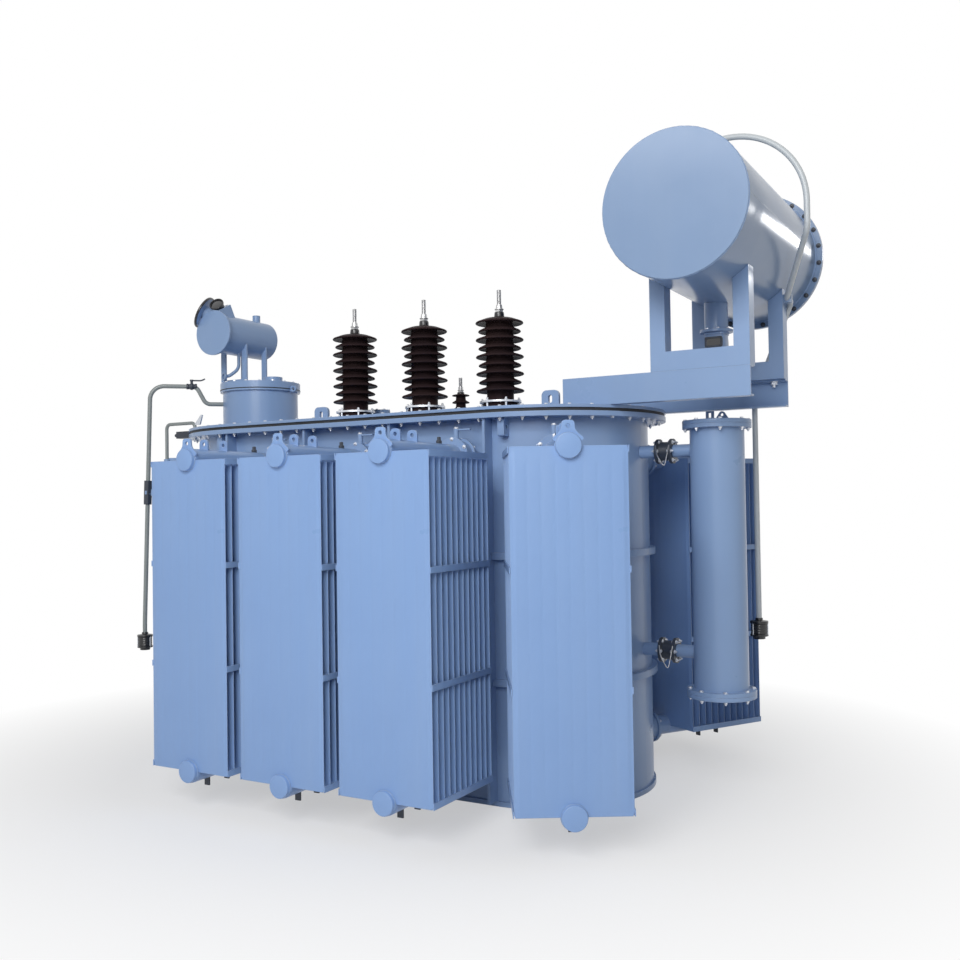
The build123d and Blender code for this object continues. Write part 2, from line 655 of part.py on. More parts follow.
# Breathers
CLIP_ROOM = BREATHER_PIPE_RADIUS + CLIP_GAP
BREATHER_PLACES = [
    (BEAM_END - BREATHER_INSET, BEAM_Y + CLIP_ROOM, BREATHER_LEVEL),
    (TURRET_X - TAP_DROP_X - TAP_LEAN, -TAP_DROP_Y, TAP_BREATHER_LEVEL),
]


def breather_pipe():
    """The hoop from the drum's top round its side, then past the rear post and down to the breather."""
    drum_top = CONSERVATOR_HEIGHT + CONSERVATOR_RADIUS
    start = CONSERVATOR_X - HOOP_OFFSET
    side = CONSERVATOR_X + CONSERVATOR_RADIUS + HOOP_STANDOFF
    clip_level = CONSERVATOR_HEIGHT - CLIP_DROP
    x, y, level = BREATHER_PLACES[0]
    points = [
        (start, HOOP_Y, drum_top - BREATHER_PIPE_RADIUS),
        (start, HOOP_Y, drum_top + HOOP_RISE),
        (side, HOOP_Y, drum_top + HOOP_RISE),
        (side, HOOP_Y, CONSERVATOR_HEIGHT - HOOP_TAIL),
        (BEAM_END + CLIP_ROOM, BEAM_Y - POST_DEPTH, clip_level),
        (BEAM_END + CLIP_ROOM, y, clip_level),
        (x, y, BEAM_TOP - CROSS_DROP),
        (x, y, level),
    ]
    bends = [HOOP_START_BEND, HOOP_BEND, BREATHER_BEND, CLIP_BEND, CLIP_BEND, BREATHER_BEND]
    return bent_pipe(points, BREATHER_PIPE_RADIUS, bends) - conservator_body(SEAT_GAP)


# Oil filter
def filter_column():
    """The filter's tube with a flange at each end."""
    tube = upright(FILTER_X, 0, FILTER_BOTTOM, FILTER_TOP, FILTER_RADIUS)
    tube += upright(FILTER_X, 0, FILTER_BOTTOM, FILTER_BOTTOM + FILTER_FLANGE, FILTER_FLANGE_RADIUS)
    return tube + upright(FILTER_X, 0, FILTER_TOP - FILTER_FLANGE, FILTER_TOP, FILTER_FLANGE_RADIUS)


def filter_lid():
    """The upper lid with its strap lug and its pointed lug."""
    top = FILTER_TOP + FILTER_LID
    lid = upright(FILTER_X, 0, FILTER_TOP, top, FILTER_FLANGE_RADIUS)
    strap = Rectangle(FILTER_LUG_WIDTH, FILTER_LUG_RISE, align=(Align.CENTER, Align.MIN))
    pointed = make_face(Polyline(
        (-FILTER_LUG_WIDTH, 0), (FILTER_LUG_WIDTH, 0), (0, FILTER_LUG_RISE / 2), close=True
    ))
    lid += Pos(FILTER_X - FILTER_LUG_OFFSET, 0, top) * plate_across(strap, FILTER_LUG_THICKNESS)
    return lid + Pos(FILTER_X + FILTER_LUG_OFFSET, 0, top) * plate_across(pointed, FILTER_LUG_THICKNESS)


def filter_line(height):
    """The two pipes and the valve between tank and column at one height."""
    middle = (TANK_END + FILTER_X - FILTER_RADIUS) / 2
    near = middle - FILTER_VALVE_LENGTH / 2
    far = middle + FILTER_VALVE_LENGTH / 2
    tank = Pos(HALF_STRAIGHT, 0, height) * Cylinder(TANK_RADIUS + SEAT_GAP, 4 * FILTER_PIPE_RADIUS)
    column = Pos(FILTER_X, 0, height) * Cylinder(FILTER_RADIUS + SEAT_GAP, 4 * FILTER_PIPE_RADIUS)
    tank_side = rod((HALF_STRAIGHT, 0, height), (near, 0, height), FILTER_PIPE_RADIUS) - tank
    column_side = rod((far, 0, height), (FILTER_X, 0, height), FILTER_PIPE_RADIUS) - column
    flange = FLANGE_THICKNESS
    body = turned([
        (0, 0),
        (FILTER_VALVE_RADIUS, 0),
        (FILTER_VALVE_RADIUS, flange),
        (FILTER_PIPE_RADIUS + flange, flange),
        (FILTER_PIPE_RADIUS + flange, FILTER_VALVE_LENGTH - flange),
        (FILTER_VALVE_RADIUS, FILTER_VALVE_LENGTH - flange),
        (FILTER_VALVE_RADIUS, FILTER_VALVE_LENGTH),
        (0, FILTER_VALVE_LENGTH),
    ])
    return [tank_side, column_side], Pos(near, 0, height) * Rot(0, 90, 0) * body


PARTS = {}
PARTS["base_plate"] = obround(TANK_RADIUS + BASE_LIP, 0, BASE_THICKNESS)
PARTS["front_wall"] = side_wall()
PARTS["back_wall"] = Rot(0, 0, 180) * side_wall()
PARTS["right_end_front"] = Pos(HALF_STRAIGHT, 0, 0) * end_quarter(-90)
PARTS["right_end_back"] = Pos(HALF_STRAIGHT, 0, 0) * end_quarter(0)
PARTS["left_end_back"] = Pos(-HALF_STRAIGHT, 0, 0) * end_quarter(90)
PARTS["left_end_front"] = Pos(-HALF_STRAIGHT, 0, 0) * end_quarter(180)
PARTS["tank_rim"] = rim()
PARTS["cover_gasket"] = gasket()
PARTS["cover"] = obround(RIM_RADIUS, COVER_BOTTOM, COVER_TOP)
PARTS["cover_lugs"] = solids(*[Pos(x, y, COVER_TOP) * cover_lug() for x, y in cover_lug_places()])

unit = radiator()
pipes = []
valves = []
for name, (x, y), turn, curved in radiator_places():
    wall_frame = Pos(x, y, 0) * Rot(0, 0, turn)
    PARTS[name] = wall_frame * Pos(0, -RADIATOR_GAP - STACK_DEPTH, 0) * unit
    for height in HEADER_HEIGHTS:
        place = wall_frame * Pos(0, 0, height)
        pipes += [place * tank_pipe(curved), place * header_stub()]
        valves.append(place * valve())
PARTS["radiator_pipes"] = solids(*pipes)
PARTS["radiator_valves"] = solids(*valves)

hv_outline = shed_outline(
    (HV_FOOT_RADIUS, HV_FOOT), HV_CORE_RADIUS, HV_FIRST_SHED, HV_SHED_PITCH / 2, HV_SHEDS,
    HV_SHED_DROOP, HV_SHED_SLOPE, (HV_NECK_RADIUS, HV_DOME),
)
lv_outline = shed_outline(
    (LV_FOOT_RADIUS, LV_FOOT), LV_CORE_RADIUS, LV_FIRST_SHED, LV_SHED_PITCH, LV_SHEDS,
    LV_SHED_DROOP, LV_SHED_SLOPE, (LV_NECK_RADIUS, LV_DOME),
)
hv_terminal = terminal(
    (HV_CAP_RADIUS, HV_CAP_HEIGHT), (HV_CONE_RADIUS, HV_CONE_HEIGHT), (HV_STUD_RADIUS, HV_STUD_HEIGHT)
)
lv_terminal = terminal(
    (LV_CAP_RADIUS, LV_CAP_HEIGHT), (LV_CONE_RADIUS, LV_CONE_HEIGHT), (LV_STUD_RADIUS, LV_STUD_HEIGHT)
)
hv_ring = Pos(0, 0, HV_FOOT) * clamp_ring(HV_CORE_RADIUS, HV_RING_RADIUS, HV_RING_THICKNESS)
lv_ring = Pos(0, 0, LV_FOOT) * clamp_ring(LV_CORE_RADIUS, LV_RING_RADIUS, LV_RING_THICKNESS)
hv_top = Pos(0, 0, hv_outline[-1][1]) * hv_terminal
lv_top = Pos(0, 0, lv_outline[-1][1]) * lv_terminal
hv_seats = [Pos(x, y, COVER_TOP) for x, y in HV_PLACES]
lv_seats = [Pos(x, y, COVER_TOP) for x, y in LV_PLACES]
for number, seat in enumerate(hv_seats, 1):
    PARTS[f"hv_bushing_{number}"] = seat * turned(hv_outline)
PARTS["lv_bushings"] = solids(*[seat * turned(lv_outline) for seat in lv_seats])
rings = [seat * hv_ring for seat in hv_seats] + [seat * lv_ring for seat in lv_seats]
PARTS["bushing_flanges"] = solids(*rings)
terminals = [seat * hv_top for seat in hv_seats] + [seat * lv_top for seat in lv_seats]
PARTS["bushing_terminals"] = solids(*terminals)

PARTS["tap_changer_turret"] = turret()
PARTS["tap_changer_head"] = head()
PARTS["tap_changer_brackets"] = solids(*[drum_bracket(y) for y in BRACKET_Y])
PARTS["tap_changer_drum"] = small_drum()
PARTS["tap_changer_pipe"] = solids(tap_pipe(), sampling_pipe())

PARTS["conservator_beams"] = solids(channel(-BEAM_Y, 1), channel(BEAM_Y, -1))
PARTS["conservator_frames"] = solids(saddle(-BEAM_Y), saddle(BEAM_Y - POST_DEPTH))
PARTS["conservator_upper"] = drum_half(1)
PARTS["conservator_lower"] = drum_half(-1)
PARTS["conservator_front"] = drum_disc(
    CONSERVATOR_FRONT - CONSERVATOR_END, CONSERVATOR_END, CONSERVATOR_RADIUS
)
PARTS["conservator_flange"] = drum_disc(CONSERVATOR_BACK, CONSERVATOR_FLANGE, CONSERVATOR_FLANGE_RADIUS)
PARTS["conservator_cover"] = drum_disc(
    CONSERVATOR_BACK + CONSERVATOR_FLANGE, CONSERVATOR_COVER, CONSERVATOR_FLANGE_RADIUS
)
PARTS["conservator_outlet"] = outlet()
half = RELAY_SIDE / 2
PARTS["gas_relay"] = block(OUTLET_X - half, OUTLET_X + half, -half, half, RELAY_BOTTOM, RELAY_TOP)
PARTS["oil_pipe"] = oil_pipe()

PARTS["breather_pipe"] = breather_pipe()
PARTS["breathers"] = solids(
    *[upright(x, y, level - BREATHER_HEIGHT, level, BREATHER_RADIUS) for x, y, level in BREATHER_PLACES]
)

PARTS["filter_column"] = filter_column()
lower_lid = upright(FILTER_X, 0, FILTER_BOTTOM - FILTER_LID, FILTER_BOTTOM, FILTER_FLANGE_RADIUS)
PARTS["filter_lids"] = solids(lower_lid, filter_lid())
lower_inset, upper_inset = FILTER_PIPE_INSETS
lower_pipes, lower_valve = filter_line(FILTER_BOTTOM + lower_inset)
upper_pipes, upper_valve = filter_line(FILTER_TOP - upper_inset)
PARTS["filter_pipes"] = solids(*lower_pipes, *upper_pipes)
PARTS["filter_valves"] = solids(lower_valve, upper_valve)

os.makedirs("parts", exist_ok=True)
for name, piece in PARTS.items():
    export_step(piece, f"parts/{name}.step")
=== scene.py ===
"""Dresses the power transformer's CAD frame: enamel, porcelain, panel radiators, bolts and fittings."""
import math
import bmesh
import bpy
from mathutils import Matrix, Vector


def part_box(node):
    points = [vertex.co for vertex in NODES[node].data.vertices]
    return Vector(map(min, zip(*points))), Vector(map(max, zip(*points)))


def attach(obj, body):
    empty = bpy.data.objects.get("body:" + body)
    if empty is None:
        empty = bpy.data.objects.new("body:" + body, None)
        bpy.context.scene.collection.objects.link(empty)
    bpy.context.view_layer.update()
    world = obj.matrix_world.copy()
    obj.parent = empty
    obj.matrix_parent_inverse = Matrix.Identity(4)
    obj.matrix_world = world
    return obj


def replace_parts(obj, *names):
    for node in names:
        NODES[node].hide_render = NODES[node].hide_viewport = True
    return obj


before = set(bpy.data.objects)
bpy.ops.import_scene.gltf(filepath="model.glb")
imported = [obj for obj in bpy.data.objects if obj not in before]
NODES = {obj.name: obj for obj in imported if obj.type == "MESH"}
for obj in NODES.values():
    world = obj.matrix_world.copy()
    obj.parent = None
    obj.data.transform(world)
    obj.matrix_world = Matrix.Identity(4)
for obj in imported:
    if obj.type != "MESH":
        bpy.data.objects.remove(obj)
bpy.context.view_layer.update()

BODY = "root"

# Tank: all sizes are metres, and a lathe's outline is a row of (radius, height) points
TANK_RADIUS = 0.590
HALF_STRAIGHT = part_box("front_wall")[1][0]
WALL_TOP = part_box("tank_rim")[0][2]
COVER_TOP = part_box("cover")[1][2]
BOLT_LINE = 0.655  # tank axis to the row of rim bolts
RIM_BOLTS = 64
RIM_BOLT = 0.0085
BEAM_MIDDLE = 0.030  # beams' outer face to the middle of their depth
BEAM_ROOM = 0.055  # a bolt nearer than this to a beam's middle lies under the beam
BEAM_LEAD = 0.030  # and so does one this close before its start
LIFT_X = 0.967  # lifting plates on the wall under the rim
LIFT_THICKNESS = 0.038
LIFT_PLATE = (0.575, -0.094, 0.640, 0)  # two corners: from the tank's axis, and up from the wall's top
LIFT_HOLE = 0.013
LIFT_HOLE_PLACE = (0.6075, -0.047)
LIFT_CORNER = 0.010
HAND_HOLES = (  # place, radius and height of each lid
    (-0.620, -0.300, 0.055, 0.032),
    (-0.085, -0.200, 0.056, 0.072),
    (0.160, -0.200, 0.056, 0.072),
)
HAND_HOLE_GASKET = 0.006
HAND_HOLE_SHARES = (0.9, 0.97, 0.78)  # gasket's inner edge, plate and bolts, as shares of the radius
HAND_HOLE_BOLTS = 6
HAND_HOLE_BOLT = 0.006
SOFT_EDGE = 0.002  # rounding of small turned fittings
SOFT_CASTING = 0.003
SOFT_PLATE = 0.004
SOFT_BLOCK = 0.006
CORNER_SHARE = 0.45  # most of a side that the rounding of one corner takes

# A bolt's outlines, in shares of its radius; a RING is its radius, count, bolt's radius and, with nuts, grip
WASHER = ((0, 0), (1.5, 0), (1.5, 0.22), (0, 0.22))
BOLT_HEAD = ((0, 0), (1.12, 0), (1.12, 0.56), (0.95, 0.70), (0, 0.70))
NUT = ((0, 0), (1.12, 0), (1.12, 0.9), (0.58, 1.0))
BOLT_END = ((0.58, 1.0), (0.58, 1.7), (0.48, 1.8), (0, 1.8))

# Radiators
PANEL_WIDTH = 0.520
PANEL_THICKNESS = 0.010
PANEL_SEAM = 0.003  # thickness of the welded seam along a panel's edges
PANEL_SEAM_WIDTH = 0.014
PANEL_FLUTES = 8
FLUTE_SWELL = ((0.10, 0.92), (0.24, 1.0), (0.76, 1.0), (0.90, 0.92))  # place across a flute, and its swell
PANEL_GROOVE = 0.80  # thickness left between two flutes, as a share
PANEL_FLAT = 0.86  # thickness where the ends are pressed flat, as a share
PANEL_ROWS = ((0.0, 0.0), (0.012, 0.0), (0.026, 0.75), (0.074, 0.78), (0.083, 1.0))  # from an end, and swell
PANEL_PITCH = 0.048
PANEL_COUNT = 12
PANEL_CORNER = 0.014
PANEL_CUT = 0.45  # a corner's cut across, as a share of its height
STACK_DEPTH = (PANEL_COUNT - 1) * PANEL_PITCH + PANEL_THICKNESS
HEADER_RADIUS = 0.057
HEADER_OUTLINE = (  # cap before the outer panel, lip in it, end at the last panel
    (0, -0.022), (HEADER_RADIUS, -0.022), (HEADER_RADIUS, 0.004),
    (0.061, 0.006), (0.061, 0.010), (HEADER_RADIUS, STACK_DEPTH),
)
HEADERS = (0.201, 1.801)  # heights of their axes
BRACE_WIDTH = 0.030
BRACE_THICKNESS = 0.005
BRACE_SOFT = 0.0015
BRACE_SHARES = (0.0, 1 / 3, 2 / 3, 1.0)
LUG_INNER = ((-0.029, 0.112), (-0.029, 0.010))  # left edge of a lifting plate, up from the header's axis
LUG_OUTER = ((-0.029, 0.112), (-0.029, 0.068), (-0.074, 0.030), (-0.0444, 0.010))
LUG_HOLE_RISE = 0.086
LUG_CORNER = 0.026
LUG_HOLE = 0.010
LUG_THICKNESS = 0.010
LUG_GAPS = (3, 6)
PEG_WIDTH = 0.033
PEG_DROP = 0.100
VENT_PLUG = ((0, 0), (0.016, 0), (0.016, 0.018), (0.011, 0.020), (0.011, 0.036), (0, 0.038))
VENT_INSET = 0.030
VENT_SINK = 0.004
RADIATOR_GAP = 0.250
END_ANGLE = math.radians(30.8)
FLANGE_THICKNESS = 0.016
FLANGE_RING = (0.084, 6, 0.007)
VALVE_FACES = (0.080, 0.140)  # wall to the two faces of the radiator valve
VALVE_STEM_TOP = 0.140
VALVE_STEM_NUT = 0.010
VALVE_LEVER = ((-0.012, -0.010, -0.010), (0.085, 0.010, -0.002))  # two corners, from the stem's top

# Bushings
HV_X = (-0.098, 0.380, 0.858)
HV_Y = -0.434
HV_BODY = {  # edge: thickness of a shed's edge, its droop and slope
    "foot": (0.092, 0.038), "core": 0.072, "first_shed": 0.096, "pitch": 0.0455, "count": 9,
    "sheds": (0.129, 0.115), "edge": (0.011, 0.008, 0.028), "neck": 0.030, "dome": 0.037,
}
HV_TOP = ((0.028, 0.028), (0.023, 0.039), (0.012, 0.080))  # radius and height of cap, cone and stud
HV_CLAMPS = 6
HV_CLAMP_CIRCLE = 0.101
HV_CLAMP_STUD = ((0.006, 0), (0.006, 0.062), (0.004, 0.064), (0, 0.064))
HV_CLAMP_RISE = 0.048
HV_CLAMP_NUT = 0.008
LV_X = (-0.143, 0.157, 0.457)
LV_Y = 0.330
LV_BODY = {
    "foot": (0.044, 0.024), "core": 0.030, "first_shed": 0.048, "pitch": 0.045, "count": 4,
    "sheds": (0.056, 0.056), "edge": (0.007, 0.004, 0.020), "neck": 0.028, "dome": 0.012,
}
LV_TOP = ((0.024, 0.014), (0.019, 0.032), (0.012, 0.060))
LV_CLAMP_RISE = 0.032
LV_CLAMP_RING = (0.048, 4, 0.005)
CAP_TAPER = 0.9
NUT_SHARE = 0.34  # height of the nut, as a share of the cone's
WASHER_THICKNESS = 0.003
WASHER_SLOPE = 0.001
THREAD_PITCH = 0.006
THREAD_TIP = 0.003

# Tap changer: turret, drum, level gauge and the thin pipes beside the tank's left end
TURRET_RADIUS = 0.245
TURRET_SEAL = (0.250, -0.003, 0.2635, 0.003)  # two corners of its section, between turret and head
HEAD_THICKNESS = 0.046
HEAD_RING = (0.248, 18, 0.008)
EAR = (-0.020, 0, 0.020, 0.052)  # two corners of the lifting ear on the turret's flange
EAR_CORNER = 0.018
EAR_HOLE = 0.010
EAR_HOLE_RISE = 0.030
EAR_THICKNESS = 0.010
EAR_INSET = 0.008  # flange's edge to the ear
GAUGE_TILT = math.radians(28)
GAUGE_WIDTH = 0.110
GAUGE_DEPTH = 0.120
GAUGE_BACK = 0.106  # drum's front face to the housing's upper back edge
GAUGE_LOOK = (0.25, -0.80, 0.55)  # the way the small dial faces
GAUGE_CASE = (
    (0, 0), (0.030, 0), (0.040, 0.020), (0.040, 0.042),
    (0.047, 0.044), (0.047, 0.056), (0.040, 0.058), (0.039, 0.048),
)
GAUGE_GLASS = ((0.040, 0.048), (0.026, 0.051), (0, 0.052))
GAUGE_SINK = 0.010
GAUGE_KNOB = ((0, 0), (0.015, 0), (0.015, 0.008), (0.011, 0.010), (0.011, 0.022), (0, 0.022))
GAUGE_KNOB_SINK = 0.030
GAUGE_SHARES = (0.45, 0.8, 0.12)  # dial, knob and bolts: from the back edge, as shares of the depth
GAUGE_BOLT = 0.006
GAUGE_BOLT_X = 0.040
PLATE_LOOK = (-0.800, -0.365, 0.484)  # the way the round plate on the drum's upper left faces
PLATE_PLACE = Vector((-0.107, 0.042, 0.144))  # from the middle of the drum's front disc
PLATE_BACK = ((0.046, -0.090), (0.046, -0.003), (0.100, -0.001), (0.100, 0))  # with its neck
PLATE_RIM = ((0.098, 0), (0.110, 0), (0.110, 0.012), (0.098, 0.012))
PLATE_GLASS = ((0.098, 0.0108), (0, 0.0108))
TAP_DROP_TOP = Vector((-1.704, -0.503, 2.350))
TAP_DROP_FOOT = Vector((-1.772, -0.503, 0.805))
TAP_CLAMP_SHARE = 0.45  # place of the clamp along the drop
TAP_CLAMP = Vector((0.020, 0.018, 0.078))  # half its width, depth and height
TAP_COCK_REACH = 0.445  # turret's axis to the cock
TAP_COCK = (
    (0, -0.034), (0.019, -0.034), (0.019, -0.020), (0.016, -0.018), (0.024, 0),
    (0.016, 0.018), (0.019, 0.020), (0.019, 0.034), (0, 0.034),
)
TAP_STEM = ((0, 0), (0.009, 0), (0.009, 0.034), (0.012, 0.036), (0.012, 0.046), (0, 0.046))
TAP_HANDLE = ((0.0, 0.040), (-0.060, 0.040), (-0.085, 0.052))  # along the pipe, and up
HANDLE_RADIUS = 0.005
HANDLE_BEND = 0.010
SAMPLE_X = -1.645
SAMPLE_Y = -0.420
SAMPLE_FOOT = 1.000
SAMPLE_COCK = (
    (0, 0), (0.018, 0), (0.018, 0.018), (0.013, 0.022), (0.022, 0.040),
    (0.013, 0.058), (0.018, 0.062), (0.018, 0.076), (0, 0.076),
)
SAMPLE_COCK_DROP = 0.004
SAMPLE_HANDLE = ((0.0, 0.036), (-0.040, 0.036), (-0.050, 0.005))  # along X, and up from the pipe's foot
SAMPLE_VALVE_LOW = Vector((-1.545, -0.440, 2.002))  # corners of the valve block under the cover's left edge
SAMPLE_VALVE_HIGH = Vector((-1.425, -0.380, 2.046))
SAMPLE_VALVE_SOFT = 0.010
SAMPLE_VALVE_KNOB = ((0, 0), (0.016, 0), (0.016, 0.016), (0.011, 0.020), (0.011, 0.030), (0, 0.030))
SAMPLE_LEVER = ((0, 0), (0.050, 0), (0.072, 0.062), (0.060, 0.064))
SAMPLE_LEVER_PLACE = (-1.395, SAMPLE_Y, COVER_TOP + 0.036)
SAMPLE_LEVER_THICKNESS = 0.010
STAY_LEVELS = (1.120, 1.860)
STAY_THICKNESS = 0.008
STAY_HEIGHT = 0.040
STAY_SINK = 0.004
STAY_END = 0.012  # bar's end to the pipe's axis
STAY_PAD = 0.060
STAY_PAD_FACES = (-0.006, 0.008)  # from the tank's wall
STAY_STRAP = ((0.0112, -0.012), (0.020, -0.012), (0.020, 0.012), (0.0112, 0.012))
DRUM_PIPE = (
    (-1.290, -0.120, 2.600), (-1.290, -0.120, 2.470),
    (-1.345, -0.150, 2.425), (-1.362, -0.170, 2.420),
)
DRUM_PIPE_RADIUS = 0.011
DRUM_PIPE_BEND = 0.050
PIPE_EYE = ((0.017, -0.007), (0.028, -0.007), (0.028, 0.007), (0.017, 0.007), (0.017, -0.007))
PIPE_EYE_PLACE = (-1.368, -0.176, 2.418)
PIPE_EYE_LOOK = (-0.3, -1, 0)

# Conservator, relay and breathers
COVER_RING = (0.368, 24, 0.009, 0.030)
OUTLET_RADIUS = 0.060
OUTLET_FLANGE = 0.014
OUTLET_RING = (0.073, 8, 0.007)
FRAME_BOLT = 0.016
FRAME_BOLT_GRIP = 0.008
FRAME_BOLT_X = (1.750, 2.110)
FRAME_BOLT_Y = 0.353
CLIP_PLACE = Vector((2.200, 0.300, 2.618))
CLIP_LOW = Vector((-0.024, -0.008, -0.022))
CLIP_HIGH = Vector((0.024, 0.030, 0.022))
CLIP_BOLT = 0.008
RELAY_CORNER = 0.022
RELAY_BODY = 0.93  # body's width, as a share of the flanges'
RELAY_FLANGE = 0.012
WINDOW = (0.046, 0.027)  # half the width and height of the relay's window frame
WINDOW_CORNER = 0.012
WINDOW_DEPTH = 0.014
PANE = (0.78, 0.66)  # pane's width and height, as shares of the frame's
PANE_DEPTH = 0.006
SCREW = 0.003
SCREW_X = 0.041
SCREW_Z = 0.022
BREATHER_RADIUS = 0.050
BREATHER_HEIGHT = 0.115
BREATHER_CAP = ((0, 0), (0.020, 0), (0.020, -0.012), (0.049, -0.016), (0.049, -0.030), (0.043, -0.033))
BREATHER_RIB = ((0.043, 0), (0.045, -0.004), (0.045, -0.008), (0.043, -0.011))
BREATHER_RIBS = 4
BREATHER_RIB_TOP = -0.036
BREATHER_RIB_PITCH = 0.013
BREATHER_CUP = ((0.049, -0.089), (0.049, -0.098), (0.032, -0.102), (0.032, -0.114), (0, -0.115))
BREATHER_RODS = 3
BREATHER_ROD = ((0, 0), (0.003, 0), (0.003, 0.070), (0, 0.070))
BREATHER_ROD_CIRCLE = 0.0465
BREATHER_ROD_FOOT = -0.094

# Filter column
LID_RADIUS = 0.176
LID_THICKNESS = 0.022
LID_GRIP = 0.042  # lid and flange together
LID_RING = (0.160, 8, 0.0085, LID_GRIP)
STRAP_WIDTH = 0.042
STRAP_RISE = 0.050
STRAP_OFFSET = 0.034
SLIT = (0.36, 0.5, 0.32)  # slit's width, height and rise, as shares of the strap's
EYE = ((-0.039, 0), (0.039, 0), (0.00858, 0.046), (-0.00858, 0.046))
EYE_OFFSET = 0.030
EYE_HOLE = 0.008
EYE_HOLE_RISE = 0.0284
EYE_THICKNESS = 0.012
EYE_CORNER = 0.012
PIPE_VALVE_RADIUS = 0.066
PIPE_VALVE_FLANGE = 0.016
PIPE_VALVE_RING = (0.054, 6, 0.007, PIPE_VALVE_FLANGE)
WIRE_RADIUS = 0.003
WIRE_BEND = 0.030
WIRE_INSET = 0.008  # valve's end to the wire's
WIRE_END = (-0.058, 0.030)  # its ends' place in Y, and up from the valve's axis
WIRE_SAG = (Vector((0.020, -0.040, -0.050)), Vector((-0.010, -0.050, -0.120)))

# Weld beads
DRUM_BEADS = (0.0045, 0.006)  # front and rear seam of the conservator
DRUM_BEAD_SINK = 0.001
TURRET_BEAD = 0.006
OUTLET_BEAD = 0.005
HEADER_BEAD = 0.003
BEAD_SIDES = 10
BEAD_RIPPLES = ((0.16, 2.4), (0.08, 5.1))  # height as a share of the bead, and pace

# Studio: lamps as name, place, target, width, height and watts
AMBIENT = 0.26
LAMPS = (
    ("key", (2.7, -7.8, 5.2), (0.3, 0.0, 1.3), 4.2, 4.2, 402.0),
    ("disc_gloss", (0.38, -5.19, 5.05), (1.93, -0.9, 3.2), 1.8, 0.5, 34.0),
    ("drum_gloss_short", (3.352, 3.4, 3.55), (3.352, 0.0, 3.55), 0.10, 0.30, 5.0),
    ("drum_gloss_long", (3.150, 3.4, 3.55), (3.150, 0.0, 3.55), 0.17, 0.30, 3.2),
)
FLOOR_SIZE = 40.0
FLOOR_DROP = 0.001
FLOOR_COLOUR = (0.88, 0.88, 0.89, 1.0)
FLOOR_FADE = (1.7, 3.7)  # distances between which the floor turns to white
FLOOR_GLOW = 0.5  # share of white near the object

# Photograph's camera, fitted to the radiators, tank and conservator
CAMERA_PLACE = (3.44234, -5.18958, 1.5661)
CAMERA_YAW = math.radians(29.75)
CAMERA_PITCH = math.radians(1.19)
CAMERA_ROLL = math.radians(-0.87)
CAMERA_LENS = 38.13
SENSOR_WIDTH = 36.0

# What every finish shares: scales of its noise, streaks, coat and bump
BLOTCHES = 2.6
GLOSS_PATCHES = 6.5
CHIPS = 55.0
STREAKS = 9.0
STREAK_STRETCH = (1.0, 1.0, 0.09)
STREAK_DEPTH = 0.20
COAT_ROUGHNESS = 0.12
BUMP_DISTANCE = 0.004


# Materials
def set_values(node, **values):
    """Sets a shader node's inputs or settings by name."""
    for name, value in values.items():
        key = name.replace("_", " ")
        if key in node.inputs:
            node.inputs[key].default_value = value
        else:
            setattr(node, name, value)


def add_node(material, kind, **values):
    """A new shader node with its values set; kind is its type's name after ShaderNode."""
    node = material.node_tree.nodes.new(f"ShaderNode{kind}")
    set_values(node, **values)
    return node


def link(source, target):
    """Joins two sockets of one node tree."""
    target.id_data.links.new(source, target)


def combine(material, operation, first, second):
    """Two value sockets under a math operation."""
    node = add_node(material, "Math", operation=operation)
    link(first, node.inputs[0])
    link(second, node.inputs[1])
    return node.outputs["Value"]


def noise(material, scale, detail, stretch=(1.0, 1.0, 1.0)):
    """Noise in the object's own space, with an optional stretch."""
    place = add_node(material, "TexCoord")
    mapping = add_node(material, "Mapping", Scale=stretch)
    texture = add_node(material, "TexNoise", Scale=scale, Detail=detail)
    link(place.outputs["Object"], mapping.inputs["Vector"])
    link(mapping.outputs["Vector"], texture.inputs["Vector"])
    return texture.outputs["Fac"]


def ramp(material, value, low, high, start=0.22, end=0.78):
    """A colour or grey ramp over a value."""
    node = add_node(material, "ValToRGB")
    first, last = node.color_ramp.elements
    first.position, last.position = start, end
    first.color, last.color = low, high
    link(value, node.inputs["Fac"])
    return node.outputs["Color"]


def mix(material, factor, first, second):
    """Blends a colour socket with a plain colour by a factor socket."""
    node = add_node(material, "Mix", data_type="RGBA")
    link(factor, node.inputs["Factor"])
    link(first, node.inputs["A"])
    node.inputs["B"].default_value = second
    return node.outputs["Result"]


def grey(value):
    """A grey with full alpha."""
    return (value, value, value, 1.0)


def edges(material, radius):
    """Softened normal near edges, and a mask that is 1 on the edges themselves."""
    bevel = add_node(material, "Bevel", samples=4, Radius=radius)
    geometry = add_node(material, "NewGeometry")
    dot = add_node(material, "VectorMath", operation="DOT_PRODUCT")
    link(bevel.outputs["Normal"], dot.inputs[0])
    link(geometry.outputs["Normal"], dot.inputs[1])
    mask = ramp(material, dot.outputs["Value"], grey(1.0), grey(0.0), 0.80, 0.97)
    return bevel.outputs["Normal"], mask


